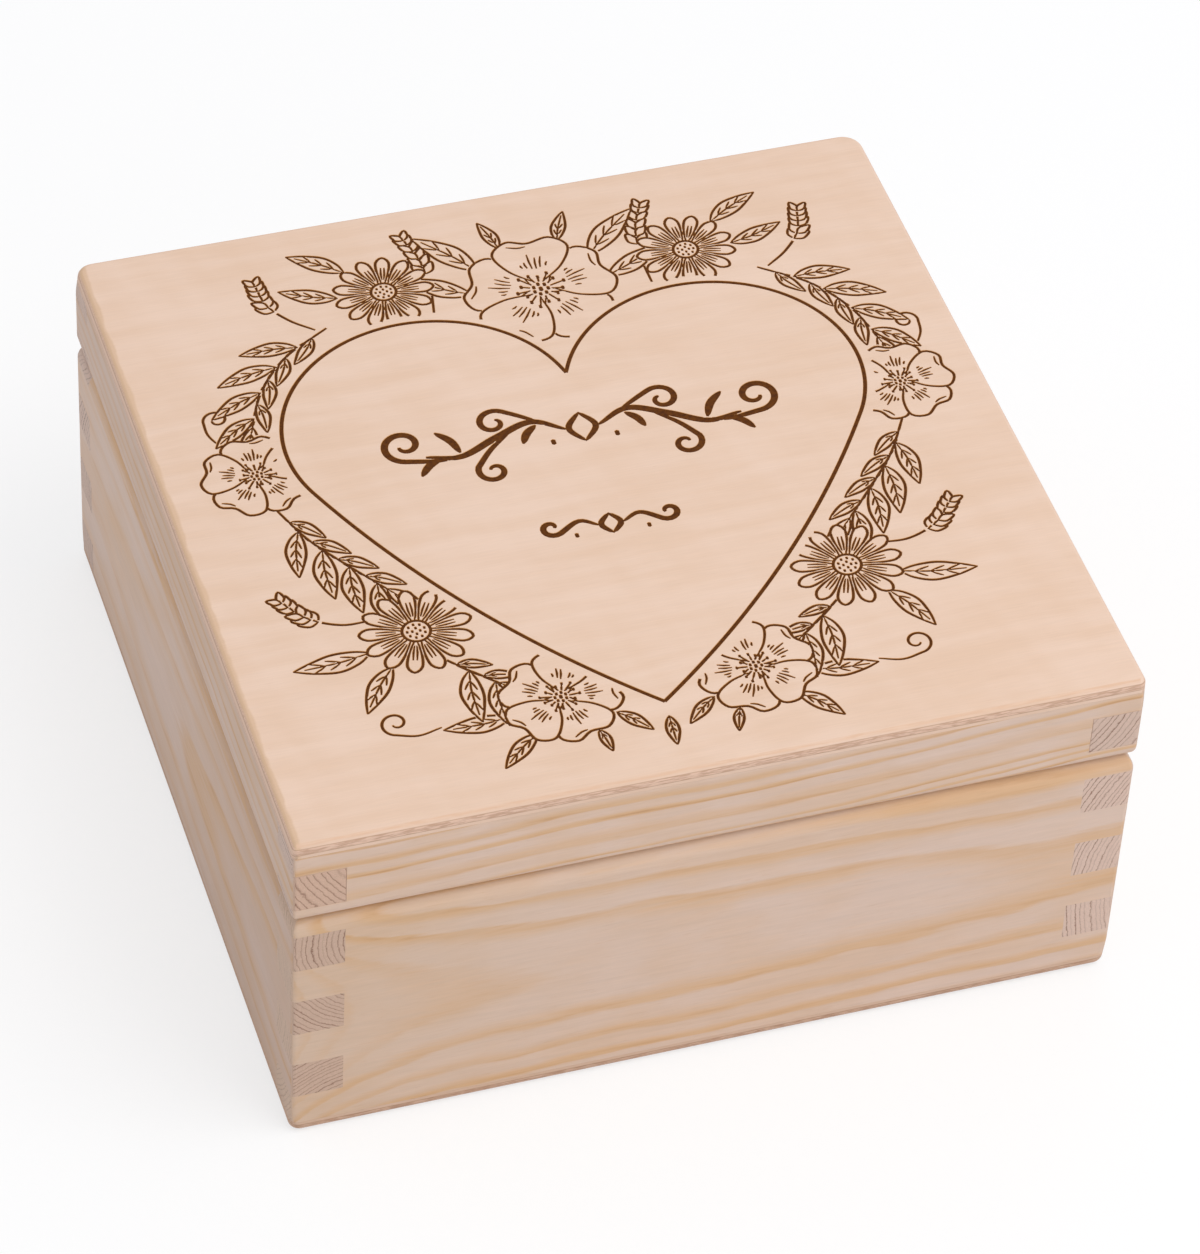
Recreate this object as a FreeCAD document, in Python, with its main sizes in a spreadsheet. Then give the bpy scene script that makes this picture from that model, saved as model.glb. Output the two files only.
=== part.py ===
"""Square pine keepsake box with a hinged lid, finger joints at its corners and plywood top and bottom.

The frame: X to the right, Y to the back, Z up, with the origin under the middle of the box.
The lid is shut, and it turns on two small brass butt hinges let in at the back.
"""
import FreeCAD, Part
import os
import Sketcher

SIZES = {
    # The whole box
    "box_width": 220.0,
    "box_depth": 220.0,
    "base_height": 77.9,
    "lid_height": 26.9,
    "lid_gap": 0.2,
    # The timber
    "wall_thickness": 13.5,
    "bottom_panel_thickness": 4.0,
    "top_panel_thickness": 4.0,
    # The rounded edges
    "base_rim_round": 5.0,
    "lid_rim_round": 3.0,
    "top_edge_round": 1.8,
    "bottom_edge_round": 2.5,
    "corner_round": 1.3,
    # The finger joints
    "base_finger_count": 3,
    "finger_spacing": 11.3,
    "base_top_land": 5.0,
    "base_bottom_land": 10.1,
    "lid_bottom_land": 4.6,
    "lid_top_land": 6.4,
    # The hinges
    "hinge_setback": 45.0,
    "hinge_length": 30.0,
    "hinge_inset": 2.0,
    "knuckle_count": 5,
    "knuckle_radius": 2.0,
    "knuckle_gap": 0.2,
    "pin_radius": 1.0,
    "pin_clearance": 0.05,
    "leaf_thickness": 1.0,
    "leaf_margin": 1.7,
    "mortise_clearance": 0.3,
    # The screws
    "screw_spacing": 18.0,
    "screw_head_radius": 1.9,
    "screw_shank_radius": 1.0,
    "screw_length": 9.0,
    "screw_point": 2.0,
    "screw_clearance": 0.05,
    "screw_slot_width": 0.5,
    "screw_slot_depth": 0.4,
    # How far a cut runs on past the piece that it opens
    "overrun": 1.0,
}

HALF_WIDTH = "sizes.box_width / 2"
HALF_DEPTH = "sizes.box_depth / 2"
INSIDE_HALF_WIDTH = "(sizes.box_width / 2 - sizes.wall_thickness)"
INSIDE_HALF_DEPTH = "(sizes.box_depth / 2 - sizes.wall_thickness)"

# Heights above the table
WALL_FOOT = "sizes.bottom_panel_thickness"
BASE_TOP = "sizes.base_height"
LID_FOOT = "(sizes.base_height + sizes.lid_gap)"
LID_TOP = "(sizes.base_height + sizes.lid_gap + sizes.lid_height)"
STRIP_TOP = f"({LID_TOP} - sizes.top_panel_thickness)"

# The fingers fill what their lands and spacings leave of each board's height
BASE_FINGER_FOOT = f"({WALL_FOOT} + sizes.base_bottom_land)"
BASE_FINGER = (
    f"(({BASE_TOP} - sizes.base_top_land - {BASE_FINGER_FOOT}"
    " - (sizes.base_finger_count - 1) * sizes.finger_spacing) / sizes.base_finger_count)"
)
BASE_FINGER_PITCH = f"({BASE_FINGER} + sizes.finger_spacing)"
LID_FINGER_FOOT = f"({LID_FOOT} + sizes.lid_bottom_land)"
LID_FINGER = f"({STRIP_TOP} - sizes.lid_top_land - {LID_FINGER_FOOT})"

# The hinge axis lies in the parting plane, just inside the back face
AXIS_Y = "(sizes.box_depth / 2 - sizes.hinge_inset)"
AXIS_Z = "(sizes.base_height + sizes.lid_gap / 2)"
HINGE_REACH = "(sizes.box_width / 2 - sizes.hinge_setback)"
LEAF_WIDTH = "(sizes.wall_thickness - sizes.hinge_inset - sizes.leaf_margin)"
KNUCKLE_GAPS = "((sizes.knuckle_count - 1) * sizes.knuckle_gap)"
KNUCKLE_LENGTH = f"((sizes.hinge_length - {KNUCKLE_GAPS}) / sizes.knuckle_count)"
KNUCKLE_ROOM = "(sizes.knuckle_radius + sizes.mortise_clearance)"
MORTISE_NEAR = f"({HINGE_REACH} - sizes.hinge_length / 2 - sizes.mortise_clearance)"
MORTISE_FAR = f"({HINGE_REACH} + sizes.hinge_length / 2 + sizes.mortise_clearance)"
SCREW_Y = f"({AXIS_Y} - (sizes.knuckle_radius + {LEAF_WIDTH}) / 2)"
SHANK_ROOM = "(sizes.screw_shank_radius + sizes.screw_clearance)"
HEAD_ROOM = "(sizes.screw_head_radius + sizes.screw_clearance)"

# Sides of the origin
BEFORE = -1
BEYOND = 1
ON_AXIS = (0, "0")
NEAR_ENOUGH = 1e-6

X_AXIS = FreeCAD.Vector(1, 0, 0)
Y_AXIS = FreeCAD.Vector(0, 1, 0)
Z_AXIS = FreeCAD.Vector(0, 0, 1)
UPRIGHT = FreeCAD.Rotation()
HEAD_DOWN = FreeCAD.Rotation(X_AXIS, 180)
ALONG_X = FreeCAD.Rotation(Y_AXIS, 90)

doc = FreeCAD.newDocument("keepsake_box")
sizes = doc.addObject("Spreadsheet::Sheet", "sizes")
for row, (size_name, size) in enumerate(SIZES.items(), start=1):
    sizes.set(f"A{row}", size_name)
    sizes.set(f"B{row}", str(size))
    sizes.setAlias(f"B{row}", size_name)
doc.recompute()

sub_parts = []


def keep(item, label):
    """Name an object as one of the box's finished pieces."""
    item.Label = label
    sub_parts.append(item)
    return item


def value(expression):
    """What an expression of the sheet's sizes comes to."""
    return float(sizes.evalExpression(expression))


def bind(item, bindings):
    """Tie an object's properties to the sheet."""
    for path, expression in bindings.items():
        item.setExpression(path, expression)
    return item


# Sketches and the features that are made from them


def sketch_on(body, name, role, offset):
    """An empty sketch on one of the body's origin planes, moved out along the plane's normal."""
    sketch = body.newObject("Sketcher::SketchObject", name)
    plane = [item for item in body.Origin.OriginFeatures if item.Role == role][0]
    sketch.AttachmentSupport = [(plane, "")]
    sketch.MapMode = "FlatFace"
    return bind(sketch, {"AttachmentOffset.Base.z": offset})


def hold(sketch, name, geometry, point, kind, limit):
    """Fix one coordinate of a point at a named distance before or beyond the sketch's origin."""
    side, expression = limit
    if limit == ON_AXIS:
        crossed_axis = -1 if kind == "DistanceY" else -2
        sketch.addConstraint(Sketcher.Constraint("PointOnObject", geometry, point, crossed_axis))
        return
    ends = (-1, 1, geometry, point) if side == BEYOND else (geometry, point, -1, 1)
    index = sketch.addConstraint(Sketcher.Constraint(kind, *ends, value(expression)))
    sketch.renameConstraint(index, name)
    sketch.setExpression(f"Constraints.{name}", expression)


def add_rectangle(sketch, name, left, right, low, high):
    """A rectangle between four limits, each a side of the origin and a distance from it."""
    xs = [side * value(expression) for side, expression in (left, right)]
    ys = [side * value(expression) for side, expression in (low, high)]
    around = [(xs[0], ys[0]), (xs[1], ys[0]), (xs[1], ys[1]), (xs[0], ys[1])]
    corners = [FreeCAD.Vector(x, y, 0) for x, y in around]
    next_corners = corners[1:] + corners[:1]
    lines = [Part.LineSegment(start, end) for start, end in zip(corners, next_corners)]
    bottom, right_edge, top, left_edge = sketch.addGeometry(lines, False)
    edges = [bottom, right_edge, top, left_edge]
    for edge, next_edge in zip(edges, edges[1:] + edges[:1]):
        sketch.addConstraint(Sketcher.Constraint("Coincident", edge, 2, next_edge, 1))
    for edge in (bottom, top):
        sketch.addConstraint(Sketcher.Constraint("Horizontal", edge))
    for edge in (right_edge, left_edge):
        sketch.addConstraint(Sketcher.Constraint("Vertical", edge))
    hold(sketch, f"{name}_left", bottom, 1, "DistanceX", left)
    hold(sketch, f"{name}_low", bottom, 1, "DistanceY", low)
    hold(sketch, f"{name}_right", top, 1, "DistanceX", right)
    hold(sketch, f"{name}_high", top, 1, "DistanceY", high)


def add_circle(sketch, name, x, y, radius):
    """A circle whose middle is at two limits."""
    middle = FreeCAD.Vector(x[0] * value(x[1]), y[0] * value(y[1]), 0)
    circle = sketch.addGeometry(Part.Circle(middle, Z_AXIS, value(radius)), False)
    index = sketch.addConstraint(Sketcher.Constraint("Radius", circle, value(radius)))
    sketch.renameConstraint(index, f"{name}_radius")
    sketch.setExpression(f"Constraints.{name}_radius", radius)
    hold(sketch, f"{name}_x", circle, 3, "DistanceX", x)
    hold(sketch, f"{name}_y", circle, 3, "DistanceY", y)


def grow(body, kind, sketch, length, backwards=False):
    """A Pad or a Pocket of a sketch. It must change the body's volume the right way."""
    doc.recompute()
    before = body.Shape.Volume if body.Tip else 0
    feature = body.newObject(f"PartDesign::{kind}", f"{sketch.Label}_{kind.lower()}")
    feature.Profile = sketch
    feature.Reversed = backwards
    bind(feature, {"Length": length})
    doc.recompute()
    gained = body.Shape.Volume - before
    if gained == 0 or (gained > 0) != (kind == "Pad"):
        raise ValueError(f"{feature.Label} points the wrong way")
    return feature


def repeat_upwards(body, feature, sketch, count, pitch):
    """Copies of a feature, one above the other."""
    pattern = body.newObject("PartDesign::LinearPattern", f"{feature.Label}_pattern")
    pattern.Originals = [feature]
    pattern.Direction = (sketch, ["V_Axis"])
    bind(pattern, {"Occurrences": count, "Length": f"({count} - 1) * {pitch}"})
    body.Tip = pattern
    doc.recompute()


def edges_along(shape, direction, height=None):
    """The names of a shape's straight edges in one direction, at one height if that is given."""
    names = []
    for number, edge in enumerate(shape.Edges, start=1):
        run = edge.Vertexes[1].Point - edge.Vertexes[0].Point
        is_along = run.cross(direction).Length < NEAR_ENOUGH
        is_level = height is None or abs(edge.CenterOfMass.z - height) < NEAR_ENOUGH
        if is_along and is_level:
            names.append(f"Edge{number}")
    return names


def fillet(body, name, edges, radius):
    """Round some edges of the body's last feature."""
    last = body.Tip
    rounded = body.newObject("PartDesign::Fillet", name)
    rounded.Base = (last, edges)
    bind(rounded, {"Radius": radius})
    doc.recompute()


# The rounded outer form of the glued-up base, and of the lid


def edge_run(name, role, half_across, length, levels):
    """A bar as long as the box, with its long edges rounded at each of two levels."""
    body = doc.addObject("PartDesign::Body", name)
    runs_along_x = role == "YZ_Plane"
    start = f"-1 * {length} / 2" if runs_along_x else f"{length} / 2"
    sketch = sketch_on(body, f"{name}_section", role, start)
    (low, low_round), (high, high_round) = levels
    add_rectangle(sketch, "section", (BEFORE, half_across), (BEYOND, half_across), low, high)
    grow(body, "Pad", sketch, length, backwards=not runs_along_x)
    direction = X_AXIS if runs_along_x else Y_AXIS
    fillet(body, f"{name}_low_round", edges_along(body.Shape, direction, value(low[1])), low_round)
    fillet(body, f"{name}_high_round", edges_along(body.Shape, direction, value(high[1])), high_round)
    return body


def rounded_form(name, low, low_round, high, high_round):
    """What a router leaves of a square block: each edge rounded end to end, and mitred at the corners."""
    levels = ((low, low_round), (high, high_round))
    across = edge_run(f"{name}_across", "YZ_Plane", HALF_DEPTH, "sizes.box_width", levels)
    along = edge_run(f"{name}_along", "XZ_Plane", HALF_WIDTH, "sizes.box_depth", levels)
    upright = doc.addObject("PartDesign::Body", f"{name}_upright")
    plan = sketch_on(upright, f"{name}_plan", "XY_Plane", low[1])
    left, right = (BEFORE, HALF_WIDTH), (BEYOND, HALF_WIDTH)
    add_rectangle(plan, "plan", left, right, (BEFORE, HALF_DEPTH), (BEYOND, HALF_DEPTH))
    grow(upright, "Pad", plan, f"{high[1]} - {low[1]}")
    fillet(upright, f"{name}_corners", edges_along(upright.Shape, Z_AXIS), "sizes.corner_round")
    form = doc.addObject("Part::MultiCommon", name)
    form.Shapes = [across, along, upright]
    return form


def shaped(label, blank, form):
    """A finished piece: the part of a square blank that lies inside the rounded form."""
    piece = doc.addObject("Part::Common", f"{label}_shaped")
    piece.Base = blank
    piece.Tool = form
    return keep(piece, label)


# Boards: front and back are slotted at their ends, and the sides' fingers fill the slots


def long_board(name, offset, foot, top, finger_foot, finger, count=None, pitch=None):
    """A front or back board, slotted right through at both ends."""
    body = doc.addObject("PartDesign::Body", f"{name}_board")
    face = sketch_on(body, f"{name}_face", "XZ_Plane", offset)
    add_rectangle(face, "face", (BEFORE, HALF_WIDTH), (BEYOND, HALF_WIDTH), (BEYOND, foot), (BEYOND, top))
    grow(body, "Pad", face, "sizes.wall_thickness", backwards=True)
    slots = sketch_on(body, f"{name}_slots", "XZ_Plane", offset)
    low, high = (BEYOND, finger_foot), (BEYOND, f"({finger_foot} + {finger})")
    add_rectangle(slots, "left", (BEFORE, HALF_WIDTH), (BEFORE, INSIDE_HALF_WIDTH), low, high)
    add_rectangle(slots, "right", (BEYOND, INSIDE_HALF_WIDTH), (BEYOND, HALF_WIDTH), low, high)
    slot_cut = grow(body, "Pocket", slots, "sizes.wall_thickness")
    if count:
        repeat_upwards(body, slot_cut, slots, count, pitch)
    return body


def side_board(name, offset, foot, top, finger_foot, finger, count=None, pitch=None):
    """A side board that ends in fingers, front and back."""
    body = doc.addObject("PartDesign::Body", f"{name}_board")
    face = sketch_on(body, f"{name}_face", "YZ_Plane", offset)
    front, back = (BEFORE, INSIDE_HALF_DEPTH), (BEYOND, INSIDE_HALF_DEPTH)
    add_rectangle(face, "face", front, back, (BEYOND, foot), (BEYOND, top))
    grow(body, "Pad", face, "sizes.wall_thickness")
    fingers = sketch_on(body, f"{name}_fingers", "YZ_Plane", offset)
    low, high = (BEYOND, finger_foot), (BEYOND, f"({finger_foot} + {finger})")
    add_rectangle(fingers, "front", (BEFORE, HALF_DEPTH), front, low, high)
    add_rectangle(fingers, "back", back, (BEYOND, HALF_DEPTH), low, high)
    finger_pad = grow(body, "Pad", fingers, "sizes.wall_thickness")
    if count:
        repeat_upwards(body, finger_pad, fingers, count, pitch)
    return body


def let_in_hinges(body, name, seat, upwards):
    """Mortises for both hinges, room for their knuckles and pilot holes for their screws."""
    back = (BEYOND, f"({HALF_DEPTH} + sizes.overrun)")
    cuts = {
        "leaf_seats": (f"({AXIS_Y} - {LEAF_WIDTH} - sizes.mortise_clearance)", "sizes.leaf_thickness"),
        "knuckle_room": (f"({AXIS_Y} - {KNUCKLE_ROOM})", f"{KNUCKLE_ROOM} - sizes.lid_gap / 2"),
    }
    for cut, (front, depth) in cuts.items():
        sketch = sketch_on(body, f"{name}_{cut}", "XY_Plane", seat)
        add_rectangle(sketch, "left", (BEFORE, MORTISE_FAR), (BEFORE, MORTISE_NEAR), (BEYOND, front), back)
        add_rectangle(sketch, "right", (BEYOND, MORTISE_NEAR), (BEYOND, MORTISE_FAR), (BEYOND, front), back)
        grow(body, "Pocket", sketch, depth, backwards=upwards)
    holes = sketch_on(body, f"{name}_pilot_holes", "XY_Plane", seat)
    for hinge_side in (BEFORE, BEYOND):
        for nearness, step in (("inner", "-"), ("outer", "+")):
            place = (hinge_side, f"({HINGE_REACH} {step} sizes.screw_spacing / 2)")
            hole_name = f"{'left' if hinge_side == BEFORE else 'right'}_{nearness}"
            add_circle(holes, hole_name, place, (BEYOND, SCREW_Y), SHANK_ROOM)
    grow(body, "Pocket", holes, "sizes.screw_length + sizes.overrun", backwards=upwards)


# Hinges and screws, from plain solids


def solid(kind, name, place, measures, turn=UPRIGHT):
    """A primitive at a place given as three expressions."""
    item = doc.addObject(f"Part::{kind}", name)
    item.Placement = FreeCAD.Placement(FreeCAD.Vector(), turn)
    bind(item, {f"Placement.Base.{axis}": where for axis, where in zip("xyz", place)})
    return bind(item, measures)


def block(name, place, length, width, height):
    return solid("Box", name, place, {"Length": length, "Width": width, "Height": height})


def rod(name, place, radius, length):
    """A cylinder that runs along X from its place."""
    return solid("Cylinder", name, place, {"Radius": radius, "Height": length}, ALONG_X)


def joined(name, items):
    fuse = doc.addObject("Part::MultiFuse", name)
    fuse.Shapes = items
    return fuse


def cut_from(name, base, tool):
    cut = doc.addObject("Part::Cut", name)
    cut.Base = base
    cut.Tool = tool
    return cut


def knuckle_start(hinge_x, number):
    return f"({hinge_x} - sizes.hinge_length / 2 + {number} * ({KNUCKLE_LENGTH} + sizes.knuckle_gap))"


def screw_places(hinge_x):
    return [f"({hinge_x} {step} sizes.screw_spacing / 2)" for step in ("-", "+")]


def hinge_leaf(label, hinge_x, leaf_foot, own_first, seat, turn):
    """A flat leaf that carries every other knuckle, with countersunk screw holes."""
    plate_y = f"{AXIS_Y} - {LEAF_WIDTH}"
    plate_x = f"{hinge_x} - sizes.hinge_length / 2"
    plate_place = (plate_x, plate_y, leaf_foot)
    plate = block(f"{label}_plate", plate_place, "sizes.hinge_length", LEAF_WIDTH, "sizes.leaf_thickness")
    knuckles = []
    notches = []
    for number in range(round(value("sizes.knuckle_count"))):
        start = knuckle_start(hinge_x, number)
        if number % 2 == own_first:
            place = (start, AXIS_Y, AXIS_Z)
            knuckles.append(rod(f"{label}_knuckle_{number}", place, "sizes.knuckle_radius", KNUCKLE_LENGTH))
        else:
            before = f"{start} - sizes.knuckle_gap"
            place = (before, f"{AXIS_Y} - {KNUCKLE_ROOM}", f"{leaf_foot} - sizes.overrun")
            room = f"{KNUCKLE_LENGTH} + 2 * sizes.knuckle_gap"
            deep = f"{KNUCKLE_ROOM} + sizes.overrun"
            high = "sizes.leaf_thickness + 2 * sizes.overrun"
            notches.append(block(f"{label}_notch_{number}", place, room, deep, high))
    notched = cut_from(f"{label}_notched", plate, joined(f"{label}_notches", notches))
    curled = joined(f"{label}_curled", [notched, *knuckles])
    bore_place = (f"{plate_x} - sizes.overrun", AXIS_Y, AXIS_Z)
    bore_length = "sizes.hinge_length + 2 * sizes.overrun"
    openings = [rod(f"{label}_bore", bore_place, "sizes.pin_radius + sizes.pin_clearance", bore_length)]
    for number, screw_x in enumerate(screw_places(hinge_x)):
        sink = {"Radius1": HEAD_ROOM, "Radius2": SHANK_ROOM, "Height": "sizes.leaf_thickness"}
        openings.append(solid("Cone", f"{label}_sink_{number}", (screw_x, SCREW_Y, seat), sink, turn))
    return keep(cut_from(f"{label}_leaf", curled, joined(f"{label}_openings", openings)), label)


def hinge_screws(label, hinge_x, seat, inwards, turn, slot_foot):
    """The screws of one leaf, with their heads flush with it."""
    screws = []
    for number, screw_x in enumerate(screw_places(hinge_x)):
        name = f"{label}_{number}"
        shank_z = f"{seat} {inwards} sizes.leaf_thickness"
        point_z = f"{seat} {inwards} (sizes.screw_length - sizes.screw_point)"
        head = {
            "Radius1": "sizes.screw_head_radius",
            "Radius2": "sizes.screw_shank_radius",
            "Height": "sizes.leaf_thickness",
        }
        shank = {
            "Radius": "sizes.screw_shank_radius",
            "Height": "sizes.screw_length - sizes.screw_point - sizes.leaf_thickness",
        }
        point = {"Radius1": "sizes.screw_shank_radius", "Radius2": "0", "Height": "sizes.screw_point"}
        body = joined(
            f"{name}_body",
            [
                solid("Cone", f"{name}_head", (screw_x, SCREW_Y, seat), head, turn),
                solid("Cylinder", f"{name}_shank", (screw_x, SCREW_Y, shank_z), shank, turn),
                solid("Cone", f"{name}_point", (screw_x, SCREW_Y, point_z), point, turn),
            ],
        )
        slot = block(
            f"{name}_slot",
            (f"{screw_x} - sizes.screw_head_radius", f"{SCREW_Y} - sizes.screw_slot_width / 2", slot_foot),
            "2 * sizes.screw_head_radius",
            "sizes.screw_slot_width",
            "sizes.screw_slot_depth + sizes.overrun",
        )
        screws.append(cut_from(f"{name}_slotted", body, slot))
    group = doc.addObject("Part::Compound", f"{label}_group")
    group.Links = screws
    return keep(group, label)


# The base: four walls on a plywood bottom

base_form = rounded_form(
    "base_form", ON_AXIS, "sizes.bottom_edge_round", (BEYOND, BASE_TOP), "sizes.base_rim_round"
)
base_joint = (BASE_FINGER_FOOT, BASE_FINGER, "sizes.base_finger_count", BASE_FINGER_PITCH)
FRONT = HALF_DEPTH
BACK = f"-1 * {INSIDE_HALF_DEPTH}"
LEFT = f"-1 * {HALF_WIDTH}"
RIGHT = INSIDE_HALF_WIDTH

shaped("base_front_wall", long_board("base_front", FRONT, WALL_FOOT, BASE_TOP, *base_joint), base_form)
base_back = long_board("base_back", BACK, WALL_FOOT, BASE_TOP, *base_joint)
let_in_hinges(base_back, "base_back", BASE_TOP, upwards=False)
shaped("base_back_wall", base_back, base_form)
shaped("base_left_wall", side_board("base_left", LEFT, WALL_FOOT, BASE_TOP, *base_joint), base_form)
shaped("base_right_wall", side_board("base_right", RIGHT, WALL_FOOT, BASE_TOP, *base_joint), base_form)
bottom_place = (f"-1 * {HALF_WIDTH}", f"-1 * {HALF_DEPTH}", "0")
bottom_sheet = block("bottom_sheet", bottom_place, "sizes.box_width", "sizes.box_depth", WALL_FOOT)
shaped("base_bottom_panel", bottom_sheet, base_form)

# The lid: four strips under a plywood top

lid_form = rounded_form(
    "lid_form", (BEYOND, LID_FOOT), "sizes.lid_rim_round", (BEYOND, LID_TOP), "sizes.top_edge_round"
)
lid_joint = (LID_FINGER_FOOT, LID_FINGER)

shaped("lid_front_strip", long_board("lid_front", FRONT, LID_FOOT, STRIP_TOP, *lid_joint), lid_form)
lid_back = long_board("lid_back", BACK, LID_FOOT, STRIP_TOP, *lid_joint)
let_in_hinges(lid_back, "lid_back", LID_FOOT, upwards=True)
shaped("lid_back_strip", lid_back, lid_form)
shaped("lid_left_strip", side_board("lid_left", LEFT, LID_FOOT, STRIP_TOP, *lid_joint), lid_form)
shaped("lid_right_strip", side_board("lid_right", RIGHT, LID_FOOT, STRIP_TOP, *lid_joint), lid_form)
top_place = (f"-1 * {HALF_WIDTH}", f"-1 * {HALF_DEPTH}", STRIP_TOP)
top_thickness = "sizes.top_panel_thickness"
top_sheet = block("top_sheet", top_place, "sizes.box_width", "sizes.box_depth", top_thickness)
shaped("lid_top_panel", top_sheet, lid_form)

# Two butt hinges: the base leaf has the outer knuckles, and the lid leaf those between

for hinge, hinge_side in (("hinge_left", BEFORE), ("hinge_right", BEYOND)):
    hinge_at = f"({hinge_side} * {HINGE_REACH})"
    base_leaf_foot = f"{BASE_TOP} - sizes.leaf_thickness"
    base_slot_foot = f"{BASE_TOP} - sizes.screw_slot_depth"
    lid_slot_foot = f"{LID_FOOT} - sizes.overrun"
    hinge_leaf(f"{hinge}_base_leaf", hinge_at, base_leaf_foot, 0, BASE_TOP, HEAD_DOWN)
    hinge_leaf(f"{hinge}_lid_leaf", hinge_at, LID_FOOT, 1, LID_FOOT, UPRIGHT)
    hinge_screws(f"{hinge}_base_screws", hinge_at, BASE_TOP, "-", HEAD_DOWN, base_slot_foot)
    hinge_screws(f"{hinge}_lid_screws", hinge_at, LID_FOOT, "+", UPRIGHT, lid_slot_foot)
    pin_place = (f"{hinge_at} - sizes.hinge_length / 2", AXIS_Y, AXIS_Z)
    keep(rod(f"{hinge}_rod", pin_place, "sizes.pin_radius", "sizes.hinge_length"), f"{hinge}_pin")

doc.recompute()
for item in doc.Objects:
    if "Invalid" in item.State or "Error" in item.State:
        raise ValueError(f"{item.Label} did not build: {item.State}")
for piece in sub_parts:
    if piece.Shape.isNull() or not piece.Shape.isValid():
        raise ValueError(f"{piece.Label} has no valid shape")

os.makedirs("parts", exist_ok=True)
for piece in sub_parts:
    piece.Shape.exportStep(f"parts/{piece.Label}.step")
    volume = piece.Shape.Volume / 1000
    print(f"{piece.Label}: {len(piece.Shape.Solids)} solids, {volume:.2f} cubic centimetres")
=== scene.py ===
# %% [markdown]
# # A hinged keepsake box in pine and plywood
#
# The real box is four finger-jointed pine boards on a plywood bottom, with a lid that is made the same way.
# Its construction is already a finished model, which is loaded here as a fixed frame, in metres.
# This lesson only dresses that frame. Each size is read from the frame, or is a named size in millimetres.

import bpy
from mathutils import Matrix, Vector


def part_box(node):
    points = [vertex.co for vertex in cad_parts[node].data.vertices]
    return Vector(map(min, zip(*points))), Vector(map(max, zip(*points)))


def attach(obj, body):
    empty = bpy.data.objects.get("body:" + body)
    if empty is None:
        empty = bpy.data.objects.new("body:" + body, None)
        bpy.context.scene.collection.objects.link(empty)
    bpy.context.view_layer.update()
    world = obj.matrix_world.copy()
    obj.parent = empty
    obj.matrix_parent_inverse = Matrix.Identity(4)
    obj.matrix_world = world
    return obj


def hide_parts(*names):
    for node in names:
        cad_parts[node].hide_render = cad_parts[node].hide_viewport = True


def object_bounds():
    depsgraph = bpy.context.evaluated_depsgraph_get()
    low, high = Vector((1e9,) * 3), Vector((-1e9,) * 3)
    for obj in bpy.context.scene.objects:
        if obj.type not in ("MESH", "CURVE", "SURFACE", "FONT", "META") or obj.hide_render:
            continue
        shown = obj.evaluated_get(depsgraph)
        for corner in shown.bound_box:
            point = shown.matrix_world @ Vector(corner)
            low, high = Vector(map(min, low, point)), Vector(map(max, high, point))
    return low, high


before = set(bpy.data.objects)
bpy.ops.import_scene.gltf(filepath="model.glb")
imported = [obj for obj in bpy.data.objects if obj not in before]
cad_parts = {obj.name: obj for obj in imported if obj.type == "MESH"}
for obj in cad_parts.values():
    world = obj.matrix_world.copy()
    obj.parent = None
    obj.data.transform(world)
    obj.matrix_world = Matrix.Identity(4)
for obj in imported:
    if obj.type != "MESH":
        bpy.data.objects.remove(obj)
cad_box = [list(corner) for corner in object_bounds()]

import math

import bpy
import numpy as np
from mathutils import Quaternion, Vector
from mathutils.geometry import delaunay_2d_cdt

MM = 0.001
scene = bpy.context.scene
print("Loaded", len(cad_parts), "nodes, box in metres:", np.round(cad_box, 4).tolist())

# %% [markdown]
# ## The camera
#
# A product photograph is taken from some way off with a long lens, so upright edges stay nearly parallel.
# The camera here stands where the photographed edges say it stood: in front, a little to the left and high.
# It aims close to the middle of the box and is rolled by a few degrees, which is why the box seems to lean.

# %% Camera
VIEW_AZIMUTH = math.radians(-19.694)
VIEW_ELEVATION = math.radians(44.335)
VIEW_ROLL = math.radians(3.49)
VIEW_DISTANCE = 1.4887
AIM_POINT = Vector((2.91, -3.91, 49.75)) * MM
LENS_LENGTH = 162.43
SENSOR_SIZE = 36.0


def add_to_scene(name, data):
    """A new object in the scene, which stays where its mesh is."""
    item = bpy.data.objects.new(name, data)
    scene.collection.objects.link(item)
    return item


box_middle = (Vector(cad_box[0]) + Vector(cad_box[1])) / 2
view_back = Vector((
    math.sin(VIEW_AZIMUTH) * math.cos(VIEW_ELEVATION),
    -math.cos(VIEW_AZIMUTH) * math.cos(VIEW_ELEVATION),
    math.sin(VIEW_ELEVATION),
))
camera = add_to_scene("camera", bpy.data.cameras.new("camera"))
camera.location = box_middle + VIEW_DISTANCE * view_back
camera.rotation_mode = "QUATERNION"
aim = (AIM_POINT - camera.location).to_track_quat("-Z", "Y")
camera.rotation_quaternion = aim @ Quaternion((0, 0, 1), VIEW_ROLL)
camera.data.lens = LENS_LENGTH
camera.data.sensor_width = SENSOR_SIZE
scene.camera = camera
print("Camera at", [round(place, 3) for place in camera.location], "metres")

# %% [markdown]
# ## Writing materials as sums
#
# A material in Blender is a web of nodes. Wired one by one, wood would need pages of code.
# The two small classes below let a sum such as `rings * 3 + fibre` add the nodes by itself.
# Colours are written as a screen shows them, from 0 to 255, and turned into the linear light that nodes use.

# %% Helpers for materials
LINEAR_LIMIT = 0.04045


def tint(red, green, blue):
    """A screen colour as linear light."""
    shares = [part / 255 for part in (red, green, blue)]
    linear = [s / 12.92 if s <= LINEAR_LIMIT else ((s + 0.055) / 1.055) ** 2.4 for s in shares]
    return (*linear, 1.0)


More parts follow.
